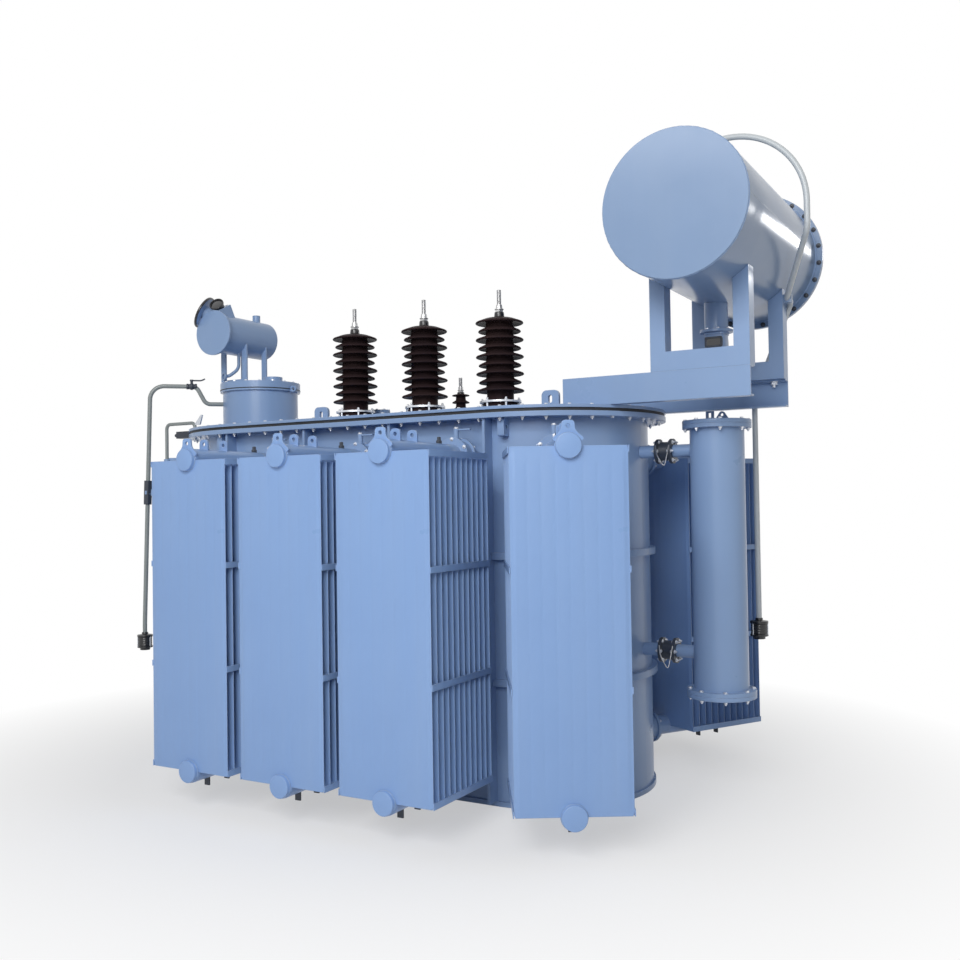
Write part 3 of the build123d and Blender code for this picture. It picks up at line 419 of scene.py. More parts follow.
def surface(
    name, tones, roughness, grain, bump,
    metallic=0.0, coat=0.0, soft=0.002, specular=0.5, worn=None, dust=None,
):
    """A finish: two tones in soft blotches, streaks of dust, worn edges, uneven gloss and fine bump."""
    material = bpy.data.materials.new(name)
    material.use_nodes = True
    shader = material.node_tree.nodes["Principled BSDF"]
    set_values(shader, Metallic=metallic, Specular_IOR_Level=specular)
    set_values(shader, Coat_Weight=coat, Coat_Roughness=COAT_ROUGHNESS)
    colour = ramp(material, noise(material, BLOTCHES, 5.0), (*tones[0], 1.0), (*tones[1], 1.0))
    normal, edge = edges(material, soft)
    if dust:
        runs = noise(material, STREAKS, 2.0, STREAK_STRETCH)
        streaks = ramp(material, runs, grey(0.0), grey(STREAK_DEPTH), 0.42, 0.82)
        colour = mix(material, streaks, colour, (*dust, 1.0))
    if worn:
        patchy = combine(material, "MULTIPLY", edge, noise(material, CHIPS, 4.0))
        colour = mix(material, patchy, colour, (*worn, 1.0))
    link(colour, shader.inputs["Base Color"])
    gloss = ramp(material, noise(material, GLOSS_PATCHES, 6.0), grey(roughness[0]), grey(roughness[1]))
    link(gloss, shader.inputs["Roughness"])
    relief = add_node(material, "Bump", Strength=bump, Distance=BUMP_DISTANCE)
    link(noise(material, grain, 4.0), relief.inputs["Height"])
    link(normal, relief.inputs["Normal"])
    link(relief.outputs["Normal"], shader.inputs["Normal"])
    return material


ENAMEL = surface(
    "blue_grey_enamel", ((0.236, 0.378, 0.665), (0.250, 0.398, 0.690)), (0.26, 0.36), coat=0.10,
    grain=70.0, bump=0.035, specular=0.35, worn=(0.50, 0.61, 0.78), dust=(0.31, 0.43, 0.64), soft=0.004,
)
# Painted shade: a greyer, darker copy of the radiator enamel, used on the tank, cover, beams, frames and
# fittings.
SHADED_TANK_ENAMEL = surface(
    "tank_enamel_painted_shade", ((0.246, 0.366, 0.590), (0.260, 0.386, 0.614)), (0.26, 0.36), coat=0.10,
    grain=70.0, bump=0.035, specular=0.35, worn=(0.50, 0.60, 0.74), dust=(0.33, 0.43, 0.60), soft=0.004,
)
# Painted shade: a darker, greyer copy of the enamel, used on the conservator, its flange and cover, and the
# small drum pipe.
SHADED_DRUM_ENAMEL = surface(
    "drum_enamel_painted_shade", ((0.218, 0.316, 0.492), (0.230, 0.332, 0.512)), (0.18, 0.26),
    grain=70.0, bump=0.012, specular=0.3, worn=(0.55, 0.64, 0.76), dust=(0.29, 0.38, 0.53), soft=0.004,
)
PORCELAIN = surface(
    "brown_porcelain", ((0.017, 0.012, 0.016), (0.044, 0.026, 0.024)), (0.32, 0.46),
    grain=45.0, bump=0.03, specular=0.02,
)
TINNED = surface(
    "tinned_metal", ((0.40, 0.40, 0.41), (0.58, 0.58, 0.58)), (0.28, 0.45), metallic=1.0,
    grain=260.0, bump=0.12, worn=(0.45, 0.42, 0.38), soft=0.001,
)
ZINC = surface(
    "zinc_bolts", ((0.62, 0.65, 0.70), (0.78, 0.80, 0.84)), (0.30, 0.45), metallic=0.75,
    grain=300.0, bump=0.10, soft=0.001,
)
RUBBER = surface(
    "black_rubber", ((0.012, 0.013, 0.016), (0.026, 0.027, 0.032)), (0.55, 0.75),
    grain=240.0, bump=0.15, dust=(0.08, 0.09, 0.11),
)
CASTING = surface(
    "dark_casting", ((0.020, 0.026, 0.040), (0.040, 0.050, 0.070)), (0.35, 0.55), coat=0.1,
    grain=150.0, bump=0.22, worn=(0.16, 0.18, 0.22), dust=(0.09, 0.11, 0.15),
)
BLACK = surface(
    "black_housing", ((0.008, 0.008, 0.010), (0.016, 0.016, 0.019)), (0.22, 0.38), coat=0.2,
    grain=200.0, bump=0.06, worn=(0.06, 0.06, 0.07),
)
PIPE_GREY = surface(
    "grey_pipe", ((0.235, 0.262, 0.262), (0.285, 0.315, 0.312)), (0.30, 0.45), coat=0.1,
    grain=180.0, bump=0.08, worn=(0.42, 0.45, 0.46), dust=(0.30, 0.32, 0.32),
)
PALE_PIPE = surface(
    "pale_pipe", ((0.54, 0.58, 0.61), (0.60, 0.64, 0.66)), (0.30, 0.42), coat=0.1,
    grain=180.0, bump=0.02, worn=(0.68, 0.70, 0.72), dust=(0.48, 0.51, 0.50),
)
GLASS = surface(
    "dark_glass", ((0.004, 0.005, 0.007), (0.010, 0.012, 0.016)), (0.04, 0.10), coat=1.0,
    grain=30.0, bump=0.01, soft=0.001,
)


# Places and outlines
UPRIGHT = Matrix.Rotation(math.pi / 2, 4, "X")  # stands an outline's Y axis up
UPSIDE_DOWN = Matrix.Rotation(math.pi, 4, "X")


def at(x, y, z):
    """A place moved from the origin."""
    return Matrix.Translation((x, y, z))


def facing(direction, origin):
    """A place at origin whose Z axis points along a direction."""
    turn = Vector((0, 0, 1)).rotation_difference(Vector(direction)).to_matrix().to_4x4()
    return at(*origin) @ turn


def centre(node):
    """Middle of a node's box."""
    low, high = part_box(node)
    return (Vector(low) + Vector(high)) / 2


def polar(radius, angle, height=0.0):
    """A point at an angle about the Z axis."""
    return Vector((radius * math.cos(angle), radius * math.sin(angle), height))


def angles(count, start=0.0):
    """Angles at even steps of a full turn."""
    return [2 * math.pi * (step + start) / count for step in range(count)]


def circle(middle, radius):
    """Points of a circle about a point."""
    return [Vector(middle) + polar(radius, angle).xy for angle in angles(20)]


def rectangle(x0, y0, x1, y1):
    """Corners of a rectangle, from the lower left one."""
    return [(x0, y0), (x1, y0), (x1, y1), (x0, y1)]


def corner_arc(before, corner, after, radius, steps):
    """Points that round one corner of an outline."""
    corner = Vector(corner)
    near = Vector(before) - corner
    far = Vector(after) - corner
    reach = min(radius, CORNER_SHARE * near.length, CORNER_SHARE * far.length)
    start = corner + near.normalized() * reach
    end = corner + far.normalized() * reach
    points = []
    for step in range(steps + 1):
        t = step / steps
        points.append(start * (1 - t) ** 2 + corner * 2 * t * (1 - t) + end * t ** 2)
    return points


def rounded(outline, radius, steps, closed=True):
    """An outline with its corners rounded; the ends of an open one stay."""
    count = len(outline)
    points = []
    for index, corner in enumerate(outline):
        if not closed and index in (0, count - 1):
            points.append(Vector(corner))
        else:
            points += corner_arc(outline[index - 1], corner, outline[(index + 1) % count], radius, steps)
    return points


# Mesh building
def join(bm, first, second, slot=0):
    """Faces between two closed rings, either of which may be a single point."""
    count = max(len(first), len(second))
    for step in range(count):
        after = (step + 1) % count
        lower = [first[step % len(first)], first[after % len(first)]]
        upper = [second[after % len(second)], second[step % len(second)]]
        corners = list(dict.fromkeys(lower + upper))
        if len(corners) > 2:
            bm.faces.new(corners).material_index = slot


def lathe(bm, outline, place, segments, slot=0):
    """Turns an open outline of (radius, height) about the place's Z axis; radius 0 closes an end."""
    rings = []
    for radius, height in outline:
        turns = angles(segments) if radius > 1e-6 else [0.0]
        rings.append([bm.verts.new(place @ polar(radius, angle, height)) for angle in turns])
    for lower, upper in zip(rings, rings[1:]):
        join(bm, lower, upper, slot)


def turned(bm, outline, soft, place, segments, slot=0, steps=2):
    """Lathes an open outline after rounding its corners."""
    lathe(bm, rounded(outline, soft, steps, False), place, segments, slot)


def prism(bm, outline, depth, place, slot=0, hole=None):
    """Extrudes a closed outline along the place's Z, centred; hole outlines an opening through it."""
    loops = [outline]
    if hole:
        loops.append(hole)
    ends = ([], [])
    for loop in loops:
        rings = []
        for height in (-depth / 2, depth / 2):
            rings.append([bm.verts.new(place @ Vector((*point, height))) for point in loop])
        join(bm, *rings, slot)
        for ring, end in zip(rings, ends):
            end += [bm.edges.get(pair) for pair in zip(ring, ring[1:] + ring[:1])]
    for end in ends:
        for made in bmesh.ops.triangle_fill(bm, edges=end, use_beauty=True)["geom"]:
            if isinstance(made, bmesh.types.BMFace):
                made.material_index = slot


def block(bm, low, high, place=Matrix(), slot=0, soft=SOFT_EDGE):
    """A box between two corners with softened edges along its height."""
    x0, y0, z0 = low
    x1, y1, z1 = high
    outline = rounded(rectangle(x0, y0, x1, y1), soft, 2)
    prism(bm, outline, z1 - z0, place @ at(0, 0, (z0 + z1) / 2), slot)


def bolt(bm, place, radius, grip=0.0, slot=0):
    """A hex bolt at the place's origin, head along +Z; with a grip, also the nut and the bolt's end below."""
    size = Matrix.Scale(radius, 4)
    seat = at(0, 0, WASHER[-1][1])
    lathe(bm, WASHER, place @ size, 14, slot)
    lathe(bm, BOLT_HEAD, place @ size @ seat, 6, slot)
    if grip:
        under = place @ at(0, 0, -grip) @ UPSIDE_DOWN @ size
        lathe(bm, WASHER, under, 14, slot)
        lathe(bm, NUT, under @ seat, 6, slot)
        lathe(bm, BOLT_END, under @ seat, 10, slot)


def bolt_ring(bm, place, reach, count, radius, grip=0.0, slot=0):
    """Bolts in a ring about the place's Z axis."""
    for angle in angles(count, 0.5):
        bolt(bm, place @ Matrix.Rotation(angle, 4, "Z") @ at(reach, 0, 0), radius, grip, slot)


def tube(bm, route, radius, bend, segments=14):
    """A round bar along a route of points with rounded bends and closed ends."""
    points = rounded([Vector(point) for point in route], bend, 6, False)
    rings = []
    side = None
    for index, point in enumerate(points):
        along = (points[min(index + 1, len(points) - 1)] - points[max(index - 1, 0)]).normalized()
        if side is None:
            side = along.orthogonal().normalized()
        side = (side - along * side.dot(along)).normalized()
        turn = Matrix((side, along.cross(side), along)).transposed()
        rings.append([bm.verts.new(point + turn @ polar(radius, angle)) for angle in angles(segments)])
    for lower, upper in zip(rings, rings[1:]):
        join(bm, lower, upper)
    bm.faces.new(rings[0])
    bm.faces.new(rings[-1])


def finished_mesh(name, bm, materials, sharp=32.0):
    """A mesh of what was built, smooth between sharp edges."""
    bmesh.ops.recalc_face_normals(bm, faces=bm.faces)
    mesh = bpy.data.meshes.new(name)
    bm.to_mesh(mesh)
    bm.free()
    mesh.shade_smooth()
    mesh.set_sharp_from_angle(angle=math.radians(sharp))
    for material in materials:
        mesh.materials.append(material)
    return mesh


def add_object(name, data, place):
    """A new object in the scene at a place."""
    obj = bpy.data.objects.new(name, data)
    bpy.context.scene.collection.objects.link(obj)
    obj.matrix_world = place
    return obj


def placed(name, mesh, place):
    """An object that shows a mesh at a place and rides on the transformer."""
    obj = add_object(name, mesh, place)
    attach(obj, BODY)
    return obj


def piece(name, bm, materials, sharp=32.0):
    """An object of what was built, in the frame's own place."""
    return placed(name, finished_mesh(name, bm, materials, sharp), Matrix())


# Radiators
def panel_section():
    """Half the thickness of a panel across its width: seams at the edges and swelling flutes between."""
    half = PANEL_WIDTH / 2
    inner = half - PANEL_SEAM_WIDTH
    points = [(-half, PANEL_SEAM / 2), (-inner, PANEL_SEAM / 2)]
    width = 2 * inner / PANEL_FLUTES
    for flute in range(PANEL_FLUTES):
        for share, swell in FLUTE_SWELL:
            points.append((-inner + (flute + share) * width, swell * PANEL_THICKNESS / 2))
        if flute < PANEL_FLUTES - 1:
            points.append((-inner + (flute + 1) * width, PANEL_GROOVE * PANEL_THICKNESS / 2))
    points += [(inner, PANEL_SEAM / 2), (half, PANEL_SEAM / 2)]
    return points


def panel_depth(x, thick, swell, limit):
    """Half a panel's thickness at a point: seam at the edge, pressed flat near an end, fluted between."""
    seam = PANEL_SEAM / 2
    if swell == 1.0:
        return thick
    if abs(x) >= limit - PANEL_SEAM_WIDTH:
        return seam
    return seam + swell * (PANEL_FLAT * PANEL_THICKNESS / 2 - seam)


def border(grid):
    """Points round the edge of a grid of rows."""
    right = [row[-1] for row in grid[1:-1]]
    left = [row[0] for row in grid[-2:0:-1]]
    return grid[0] + right + grid[-1][::-1] + left


def panel(bm, near):
    """One pressed panel: flutes between the headers, flattened at its ends, with cut corners."""
    low, high = HEADERS
    middle = near + PANEL_THICKNESS / 2
    rows = [(low + rise, swell) for rise, swell in PANEL_ROWS]
    rows += [(high - rise, swell) for rise, swell in reversed(PANEL_ROWS)]
    section = panel_section()
    borders = []
    for side in (-1, 1):
        grid = []
        for height, swell in rows:
            inset = max(0.0, PANEL_CORNER - min(height - low, high - height)) * PANEL_CUT
            limit = PANEL_WIDTH / 2 - inset
            row = []
            for x, thick in section:
                depth = panel_depth(x, thick, swell, limit)
                row.append(bm.verts.new((max(-limit, min(limit, x)), middle + side * depth, height)))
            grid.append(row)
        for lower, upper in zip(grid, grid[1:]):
            for step in range(len(section) - 1):
                bm.faces.new((lower[step], lower[step + 1], upper[step + 1], upper[step]))
        borders.append(border(grid))
    join(bm, *borders)


def lug(bm, left, y):
    """A header's lifting plate at depth y, drawn from its left edge, with a hole."""
    right = [(-x, height) for x, height in reversed(left)]
    outline = rounded([*left, *right], LUG_CORNER, 5)
    hole = circle((0, LUG_HOLE_RISE), LUG_HOLE)
    prism(bm, outline, LUG_THICKNESS, at(0, y, HEADERS[1]) @ UPRIGHT, hole=hole)


def radiator_mesh():
    """A whole radiator in its own frame: outer panel's face at y 0, tank towards +Y."""
    bm = bmesh.new()
    for step in range(PANEL_COUNT):
        panel(bm, step * PANEL_PITCH)
    low, high = HEADERS
    for height in HEADERS:
        turned(bm, HEADER_OUTLINE, SOFT_BLOCK, facing((0, 1, 0), (0, 0, height)), 36, steps=3)
    lug(bm, LUG_OUTER, PANEL_THICKNESS / 2)
    for gap in LUG_GAPS:
        middle = (gap - 0.5) * PANEL_PITCH + PANEL_THICKNESS / 2
        lug(bm, LUG_INNER, middle)
        # The pegs under the lower header take the dark casting colour as painted shade: they match the enamel
        # lugs above, darkened as if in shadow.
        peg_low = (-PEG_WIDTH / 2, middle - LUG_THICKNESS / 2, low - PEG_DROP)
        peg_high = (PEG_WIDTH / 2, middle + LUG_THICKNESS / 2, low)
        block(bm, peg_low, peg_high, slot=1)
    vent = at(0, STACK_DEPTH - VENT_INSET, high + HEADER_RADIUS - VENT_SINK)
    turned(bm, VENT_PLUG, SOFT_EDGE, vent, 6, 1)
    half = PANEL_WIDTH / 2
    for share in BRACE_SHARES:
        base = low + share * (high - low - BRACE_WIDTH)
        for side in (-half - BRACE_THICKNESS, half):
            corner = (side + BRACE_THICKNESS, STACK_DEPTH, base + BRACE_WIDTH)
            block(bm, (side, 0, base), corner, soft=BRACE_SOFT)
    return bm


def radiator_frames():
    """Node name and place of every radiator: outer panel's face at y 0 of the place, tank towards +Y."""
    axes = []
    for number in (1, 2, 3):
        for name, turn in (("front", 0.0), ("back", math.pi)):
            node = f"radiator_{name}_{number}"
            axes.append((node, centre(node).x, turn))
    for name, turn in (("front", END_ANGLE), ("back", math.pi - END_ANGLE)):
        axes.append((f"radiator_end_{name}", HALF_STRAIGHT, turn))
    outward = at(0, -TANK_RADIUS - RADIATOR_GAP - STACK_DEPTH, 0)
    return [(node, at(x, 0, 0) @ Matrix.Rotation(turn, 4, "Z") @ outward) for node, x, turn in axes]


RADIATOR_FRAMES = radiator_frames()
fin_mesh = finished_mesh("radiator_fins", radiator_mesh(), (ENAMEL, CASTING))
for node, place in RADIATOR_FRAMES:
    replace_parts(placed(f"{node}_dressed", fin_mesh, place), node)


# Bushings
def porcelain_outline(foot, core, first_shed, pitch, count, sheds, edge, neck, dome):
    """Half outline and height of a glazed body: foot, drooping sheds with round edges, dome to the neck."""
    foot_radius, foot_height = foot
    thick, droop, slope = edge
    outline = [(0, 0), (foot_radius, 0), (foot_radius, foot_height), (core, foot_height)]
    for step in range(count):
        reach = sheds[step % 2]
        level = first_shed + step * pitch
        outline += [(core, level + droop), (reach - 0.5 * thick, level), (reach, level + 0.4 * thick)]
        outline += [(reach - 0.35 * thick, level + thick), (core + 0.3 * thick, level + slope)]
    top = first_shed + (count - 1) * pitch
    outline[-1] = (0.5 * (sheds[0] + neck), top + thick + 0.66 * (dome - thick))
    outline += [(neck, top + dome), (0, top + dome)]
    return rounded(outline, 0.5 * thick, 3, False), top + dome


def thread(radius, start, end):
    """Ridges of a thread along a stud."""
    points = []
    height = start
    while height + THREAD_PITCH < end:
        points += [(radius, height), (radius, height + 0.35 * THREAD_PITCH)]
        points.append((radius * 0.86, height + 0.6 * THREAD_PITCH))
        height += THREAD_PITCH
    return points + [(radius, height), (radius, end - THREAD_TIP), (radius * 0.7, end), (0, end)]


def bushing(bm, place, body, fitting, segments):
    """Glazed body in slot 0, black cap in slot 1, tinned nut, cone and stud in slot 2."""
    porcelain, height = porcelain_outline(**body)
    lathe(bm, porcelain, place, segments)
    (cap_radius, cap_height), (radius, cone), (stud, stud_height) = fitting
    top = place @ at(0, 0, height)
    cap = [(0, 0), (cap_radius, 0), (CAP_TAPER * cap_radius, cap_height), (0, cap_height)]
    turned(bm, cap, SOFT_PLATE, top, 32, 1, 3)
    seat = top @ at(0, 0, cap_height)
    nut = NUT_SHARE * cone
    lathe(bm, [(0, 0), (radius, 0), (radius, 0.86 * nut), (0.88 * radius, nut), (0, nut)], seat, 6, 2)
    washer = nut + WASHER_THICKNESS
    hub = [(1.06 * radius, nut), (1.06 * radius, washer), (0.8 * radius, washer + WASHER_SLOPE)]
    lathe(bm, hub + [(1.3 * stud, cone), (stud, cone)], seat, 32, 2)
    lathe(bm, thread(stud, cone, cone + stud_height), seat, 24, 2)


BUSHING_MATERIALS = (PORCELAIN, BLACK, TINNED)
for number, x in enumerate(HV_X, 1):
    bm = bmesh.new()
    bushing(bm, at(x, HV_Y, COVER_TOP), HV_BODY, HV_TOP, 96)
    obj = piece(f"hv_bushing_{number}_glazed", bm, BUSHING_MATERIALS)
    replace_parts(obj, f"hv_bushing_{number}")
bm = bmesh.new()
for x in LV_X:
    bushing(bm, at(x, LV_Y, COVER_TOP), LV_BODY, LV_TOP, 64)
obj = piece("lv_bushings_glazed", bm, BUSHING_MATERIALS)
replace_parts(obj, "lv_bushings", "bushing_terminals")

bm = bmesh.new()
for x in HV_X:
    for angle in angles(HV_CLAMPS, 0.25):
        foot = at(x, HV_Y, COVER_TOP) @ at(*polar(HV_CLAMP_CIRCLE, angle))
        lathe(bm, HV_CLAMP_STUD, foot, 10)
        bolt(bm, foot @ at(0, 0, HV_CLAMP_RISE), HV_CLAMP_NUT)
for x in LV_X:
    bolt_ring(bm, at(x, LV_Y, COVER_TOP + LV_CLAMP_RISE), *LV_CLAMP_RING)
piece("bushing_clamp_bolts", bm, (ZINC,))


# Rows of bolts
def obround(radius, count):
    """Points at even steps round the tank's obround outline."""
    straight = 2 * HALF_STRAIGHT
    half_way = straight + math.pi * radius
    for step in range(count):
        run = 2 * half_way * (step + 0.5) / count
        side = 1
        if run >= half_way:
            side = -1
            run -= half_way
        if run < straight:
            yield Vector((side * (run - HALF_STRAIGHT), -side * radius, 0))
        else:
            end = polar(radius, (run - straight) / radius - math.pi / 2)
            yield side * (end + Vector((HALF_STRAIGHT, 0, 0)))


def under_beam(point):
    """True where a conservator beam covers the bolt."""
    low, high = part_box("conservator_beams")
    return point.x > low[0] - BEAM_LEAD and abs(abs(point.y) - high[1] + BEAM_MIDDLE) < BEAM_ROOM


bm = bmesh.new()
for point in obround(BOLT_LINE, RIM_BOLTS):
    if under_beam(point):
        bolt(bm, at(point.x, point.y, WALL_TOP) @ UPSIDE_DOWN, RIM_BOLT)
    else:
        bolt(bm, at(point.x, point.y, COVER_TOP), RIM_BOLT, COVER_TOP - WALL_TOP)
piece("rim_bolts", bm, (ZINC,))

bm = bmesh.new()
near = VALVE_FACES[0] - FLANGE_THICKNESS
grip = VALVE_FACES[1] + FLANGE_THICKNESS - near
for _, place in RADIATOR_FRAMES:
    wall = place @ at(0, STACK_DEPTH + RADIATOR_GAP, 0)
    for height in HEADERS:
        joint = wall @ at(0, -near, height) @ Matrix.Rotation(-math.pi / 2, 4, "X")
        bolt_ring(bm, joint, *FLANGE_RING, grip)
        stem = wall @ at(0, -sum(VALVE_FACES) / 2, height + VALVE_STEM_TOP)
        bolt(bm, stem, VALVE_STEM_NUT)
        block(bm, *VALVE_LEVER, stem, 1)
piece("radiator_flange_bolts", bm, (ZINC, SHADED_TANK_ENAMEL))

bm = bmesh.new()
drum = centre("conservator_cover")
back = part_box("conservator_cover")[1][1]
bolt_ring(bm, facing((0, 1, 0), (drum.x, back, drum.z)), *COVER_RING, 1)
column = centre("filter_column")
lid_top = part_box("filter_column")[1][2] + LID_THICKNESS
lid_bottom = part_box("filter_lids")[0][2]
for height in (lid_top, lid_bottom + LID_GRIP):
    bolt_ring(bm, at(column.x, 0, height), *LID_RING)
turret = centre("tap_changer_turret")
turret_right, _, turret_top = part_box("tap_changer_turret")[1]
bolt_ring(bm, at(turret.x, 0, turret_top + HEAD_THICKNESS), *HEAD_RING)
valve_low, valve_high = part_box("filter_valves")
VALVE_LEVELS = (valve_low[2] + PIPE_VALVE_RADIUS, valve_high[2] - PIPE_VALVE_RADIUS)
for height in VALVE_LEVELS:
    for x, direction in ((valve_low[0] + PIPE_VALVE_FLANGE, 1), (valve_high[0] - PIPE_VALVE_FLANGE, -1)):
        bolt_ring(bm, facing((direction, 0, 0), (x, 0, height)), *PIPE_VALVE_RING)
outlet = centre("conservator_outlet")
outlet_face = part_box("conservator_outlet")[0][2] + OUTLET_FLANGE
bolt_ring(bm, at(outlet.x, 0, outlet_face), *OUTLET_RING)
piece("flange_bolts", bm, (ZINC, CASTING))


# Gas relay with its windows, under the conservator's outlet
def relay():
    """Cast body with rounded corners, framed windows front and back, and flanges."""
    low, high = (Vector(corner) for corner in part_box("gas_relay"))
    middle = (low + high) / 2
    half = (high - low) / 2
    bm = bmesh.new()
    outline = rounded(rectangle(-half.x, -half.y, half.x, half.y), RELAY_CORNER, 4)
    body = [RELAY_BODY * point for point in outline]
    prism(bm, body, 2 * (half.z - RELAY_FLANGE), at(*middle))
    for level in (low.z + RELAY_FLANGE / 2, high.z - RELAY_FLANGE / 2):
        prism(bm, outline, RELAY_FLANGE, at(middle.x, middle.y, level))
    width, height = WINDOW
    rim = rounded(rectangle(-width, -height, width, height), WINDOW_CORNER, 4)
    pane = [Vector((PANE[0] * point.x, PANE[1] * point.y)) for point in rim]
    for side in (-1, 1):
        face = at(middle.x, middle.y + side * RELAY_BODY * half.y, middle.z)
        prism(bm, rim, WINDOW_DEPTH, face @ UPRIGHT, 1, pane)
        prism(bm, pane, PANE_DEPTH, face @ UPRIGHT, 2)
        for x, z in rectangle(-SCREW_X, -SCREW_Z, SCREW_X, SCREW_Z):
            spot = face @ Vector((x, side * WINDOW_DEPTH / 2, z))
            bolt(bm, facing((0, side, 0), spot), SCREW, slot=1)
    return bm


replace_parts(piece("gas_relay_dressed", relay(), (SHADED_TANK_ENAMEL, CASTING, GLASS)), "gas_relay")


# Breathers
def breather(bm, top):
    """Dark drying canister: neck, ribbed jar in a guard of rods, oil cup below."""
    outline = list(BREATHER_CAP)
    for step in range(BREATHER_RIBS):
        level = BREATHER_RIB_TOP - BREATHER_RIB_PITCH * step
        outline += [(radius, level + rise) for radius, rise in BREATHER_RIB]
    outline += BREATHER_CUP
    turned(bm, outline, SOFT_EDGE, top, 40)
    for angle in angles(BREATHER_RODS):
        foot = polar(BREATHER_ROD_CIRCLE, angle, BREATHER_ROD_FOOT)
        lathe(bm, BREATHER_ROD, top @ at(*foot), 8, 1)


bm = bmesh.new()
low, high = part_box("breathers")
breather(bm, at(high[0] - BREATHER_RADIUS, high[1] - BREATHER_RADIUS, high[2]))
breather(bm, at(low[0] + BREATHER_RADIUS, low[1] + BREATHER_RADIUS, low[2] + BREATHER_HEIGHT))
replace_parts(piece("breathers_dressed", bm, (BLACK, ZINC)), "breathers")


# Tap changer's gauge
def gauge():
    """Small dial on the tilted housing, a knob on its side, and a round dial on the drum's upper left."""
    bm = bmesh.new()
    low, high = (Vector(corner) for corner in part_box("tap_changer_drum"))
    slope = Vector((0, math.cos(GAUGE_TILT), math.sin(GAUGE_TILT)))
    across = Vector((0, -math.sin(GAUGE_TILT), math.cos(GAUGE_TILT)))
    middle = (low.x + high.x) / 2
    back_edge = Vector((middle, low.y + GAUGE_BACK, high.z))
    dial, knob, foot = (back_edge - share * GAUGE_DEPTH * slope for share in GAUGE_SHARES)
    face = facing(GAUGE_LOOK, dial - GAUGE_SINK * across)
    turned(bm, GAUGE_CASE, SOFT_EDGE, face, 40)
    lathe(bm, GAUGE_GLASS, face, 40, 1)
    side = knob - Vector((GAUGE_WIDTH / 2, 0, 0)) - GAUGE_KNOB_SINK * across
    turned(bm, GAUGE_KNOB, SOFT_CASTING, facing((-1, 0, 0), side), 20)
    for x in (-GAUGE_BOLT_X, GAUGE_BOLT_X):
        bolt(bm, facing(across, foot + Vector((x, 0, 0))), GAUGE_BOLT, slot=2)
    disc = (high.x - low.x) / 2
    plate = facing(PLATE_LOOK, Vector((middle, low.y, low.z + disc)) + PLATE_PLACE)
    lathe(bm, PLATE_BACK, plate, 40, 3)
    turned(bm, PLATE_RIM, SOFT_EDGE, plate, 48)
    lathe(bm, PLATE_GLASS, plate, 48, 1)
    return bm


piece("tap_changer_gauge", gauge(), (BLACK, GLASS, ZINC, SHADED_TANK_ENAMEL))


# Weld beads
def bead(bm, place, radius, size, segments=144):
    """An uneven weld bead round a circle about the place's Z axis."""
    rings = []
    for step, angle in enumerate(angles(segments)):
        thick = size * (1.0 + sum(height * math.sin(step * pace) for height, pace in BEAD_RIPPLES))
        ring = []
        for tilt in angles(BEAD_SIDES):
            point = polar(radius + thick * math.cos(tilt), angle, thick * math.sin(tilt))
            ring.append(bm.verts.new(place @ point))
        rings.append(ring)
    for lower, upper in zip(rings, rings[1:] + rings[:1]):
        join(bm, lower, upper)


bm = bmesh.new()
drum_low, drum_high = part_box("conservator_front")
drum_radius = (drum_high[0] - drum_low[0]) / 2
front_seam = facing((0, 1, 0), (drum.x, drum_high[1], drum.z))
rear_seam = facing((0, 1, 0), (drum.x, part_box("conservator_flange")[0][1], drum.z))
bead(bm, front_seam, drum_radius - DRUM_BEAD_SINK, DRUM_BEADS[0])
bead(bm, rear_seam, drum_radius, DRUM_BEADS[1])
bead(bm, at(turret.x, 0, COVER_TOP), TURRET_RADIUS, TURRET_BEAD)
bead(bm, at(outlet.x, 0, outlet_face), OUTLET_RADIUS, OUTLET_BEAD, 64)
for _, place in RADIATOR_FRAMES:
    for height in HEADERS:
        bead(bm, place @ at(0, 0, height) @ UPRIGHT, HEADER_RADIUS, HEADER_BEAD, 48)
piece("weld_beads", bm, (SHADED_TANK_ENAMEL,), 60.0)


# Small fittings on the tank
def lid(bm, x, y, radius, height):
    """A low hand-hole lid on the cover: gasket, plate and a ring of bolts."""
    place = at(x, y, COVER_TOP)
    base = HAND_HOLE_GASKET
    inner, plate, bolts = (share * radius for share in HAND_HOLE_SHARES)
    lathe(bm, [(radius, 0), (radius, base), (inner, base)], place, 40, 1)
    turned(bm, rectangle(0, base, plate, height), SOFT_PLATE, place, 40, steps=3)
    bolt_ring(bm, place @ at(0, 0, height), bolts, HAND_HOLE_BOLTS, HAND_HOLE_BOLT, slot=2)


bm = bmesh.new()
for hand_hole in HAND_HOLES:
    lid(bm, *hand_hole)
plate = rounded(rectangle(*LIFT_PLATE), LIFT_CORNER, 4)
hole = circle(LIFT_HOLE_PLACE, LIFT_HOLE)
for side in (-1, 1):
    for x in (-LIFT_X, LIFT_X):
        place = at(x, 0, WALL_TOP) @ Matrix.Rotation(side * math.pi / 2, 4, "Z") @ UPRIGHT
        prism(bm, plate, LIFT_THICKNESS, place, 0, hole)
ear = rounded(rectangle(*EAR), EAR_CORNER, 5)
hole = circle((0, EAR_HOLE_RISE), EAR_HOLE)
place = at(turret_right - EAR_INSET, 0, turret_top) @ Matrix.Rotation(math.pi / 2, 4, "Y") @ UPRIGHT
prism(bm, ear, EAR_THICKNESS, place, 0, hole)
lathe(bm, rectangle(*TURRET_SEAL), at(turret.x, 0, turret_top), 96, 1)
lever = rounded(SAMPLE_LEVER, SOFT_PLATE, 2)
prism(bm, lever, SAMPLE_LEVER_THICKNESS, at(*SAMPLE_LEVER_PLACE) @ UPRIGHT, 2)
piece("cover_fittings", bm, (SHADED_TANK_ENAMEL, RUBBER, ZINC))


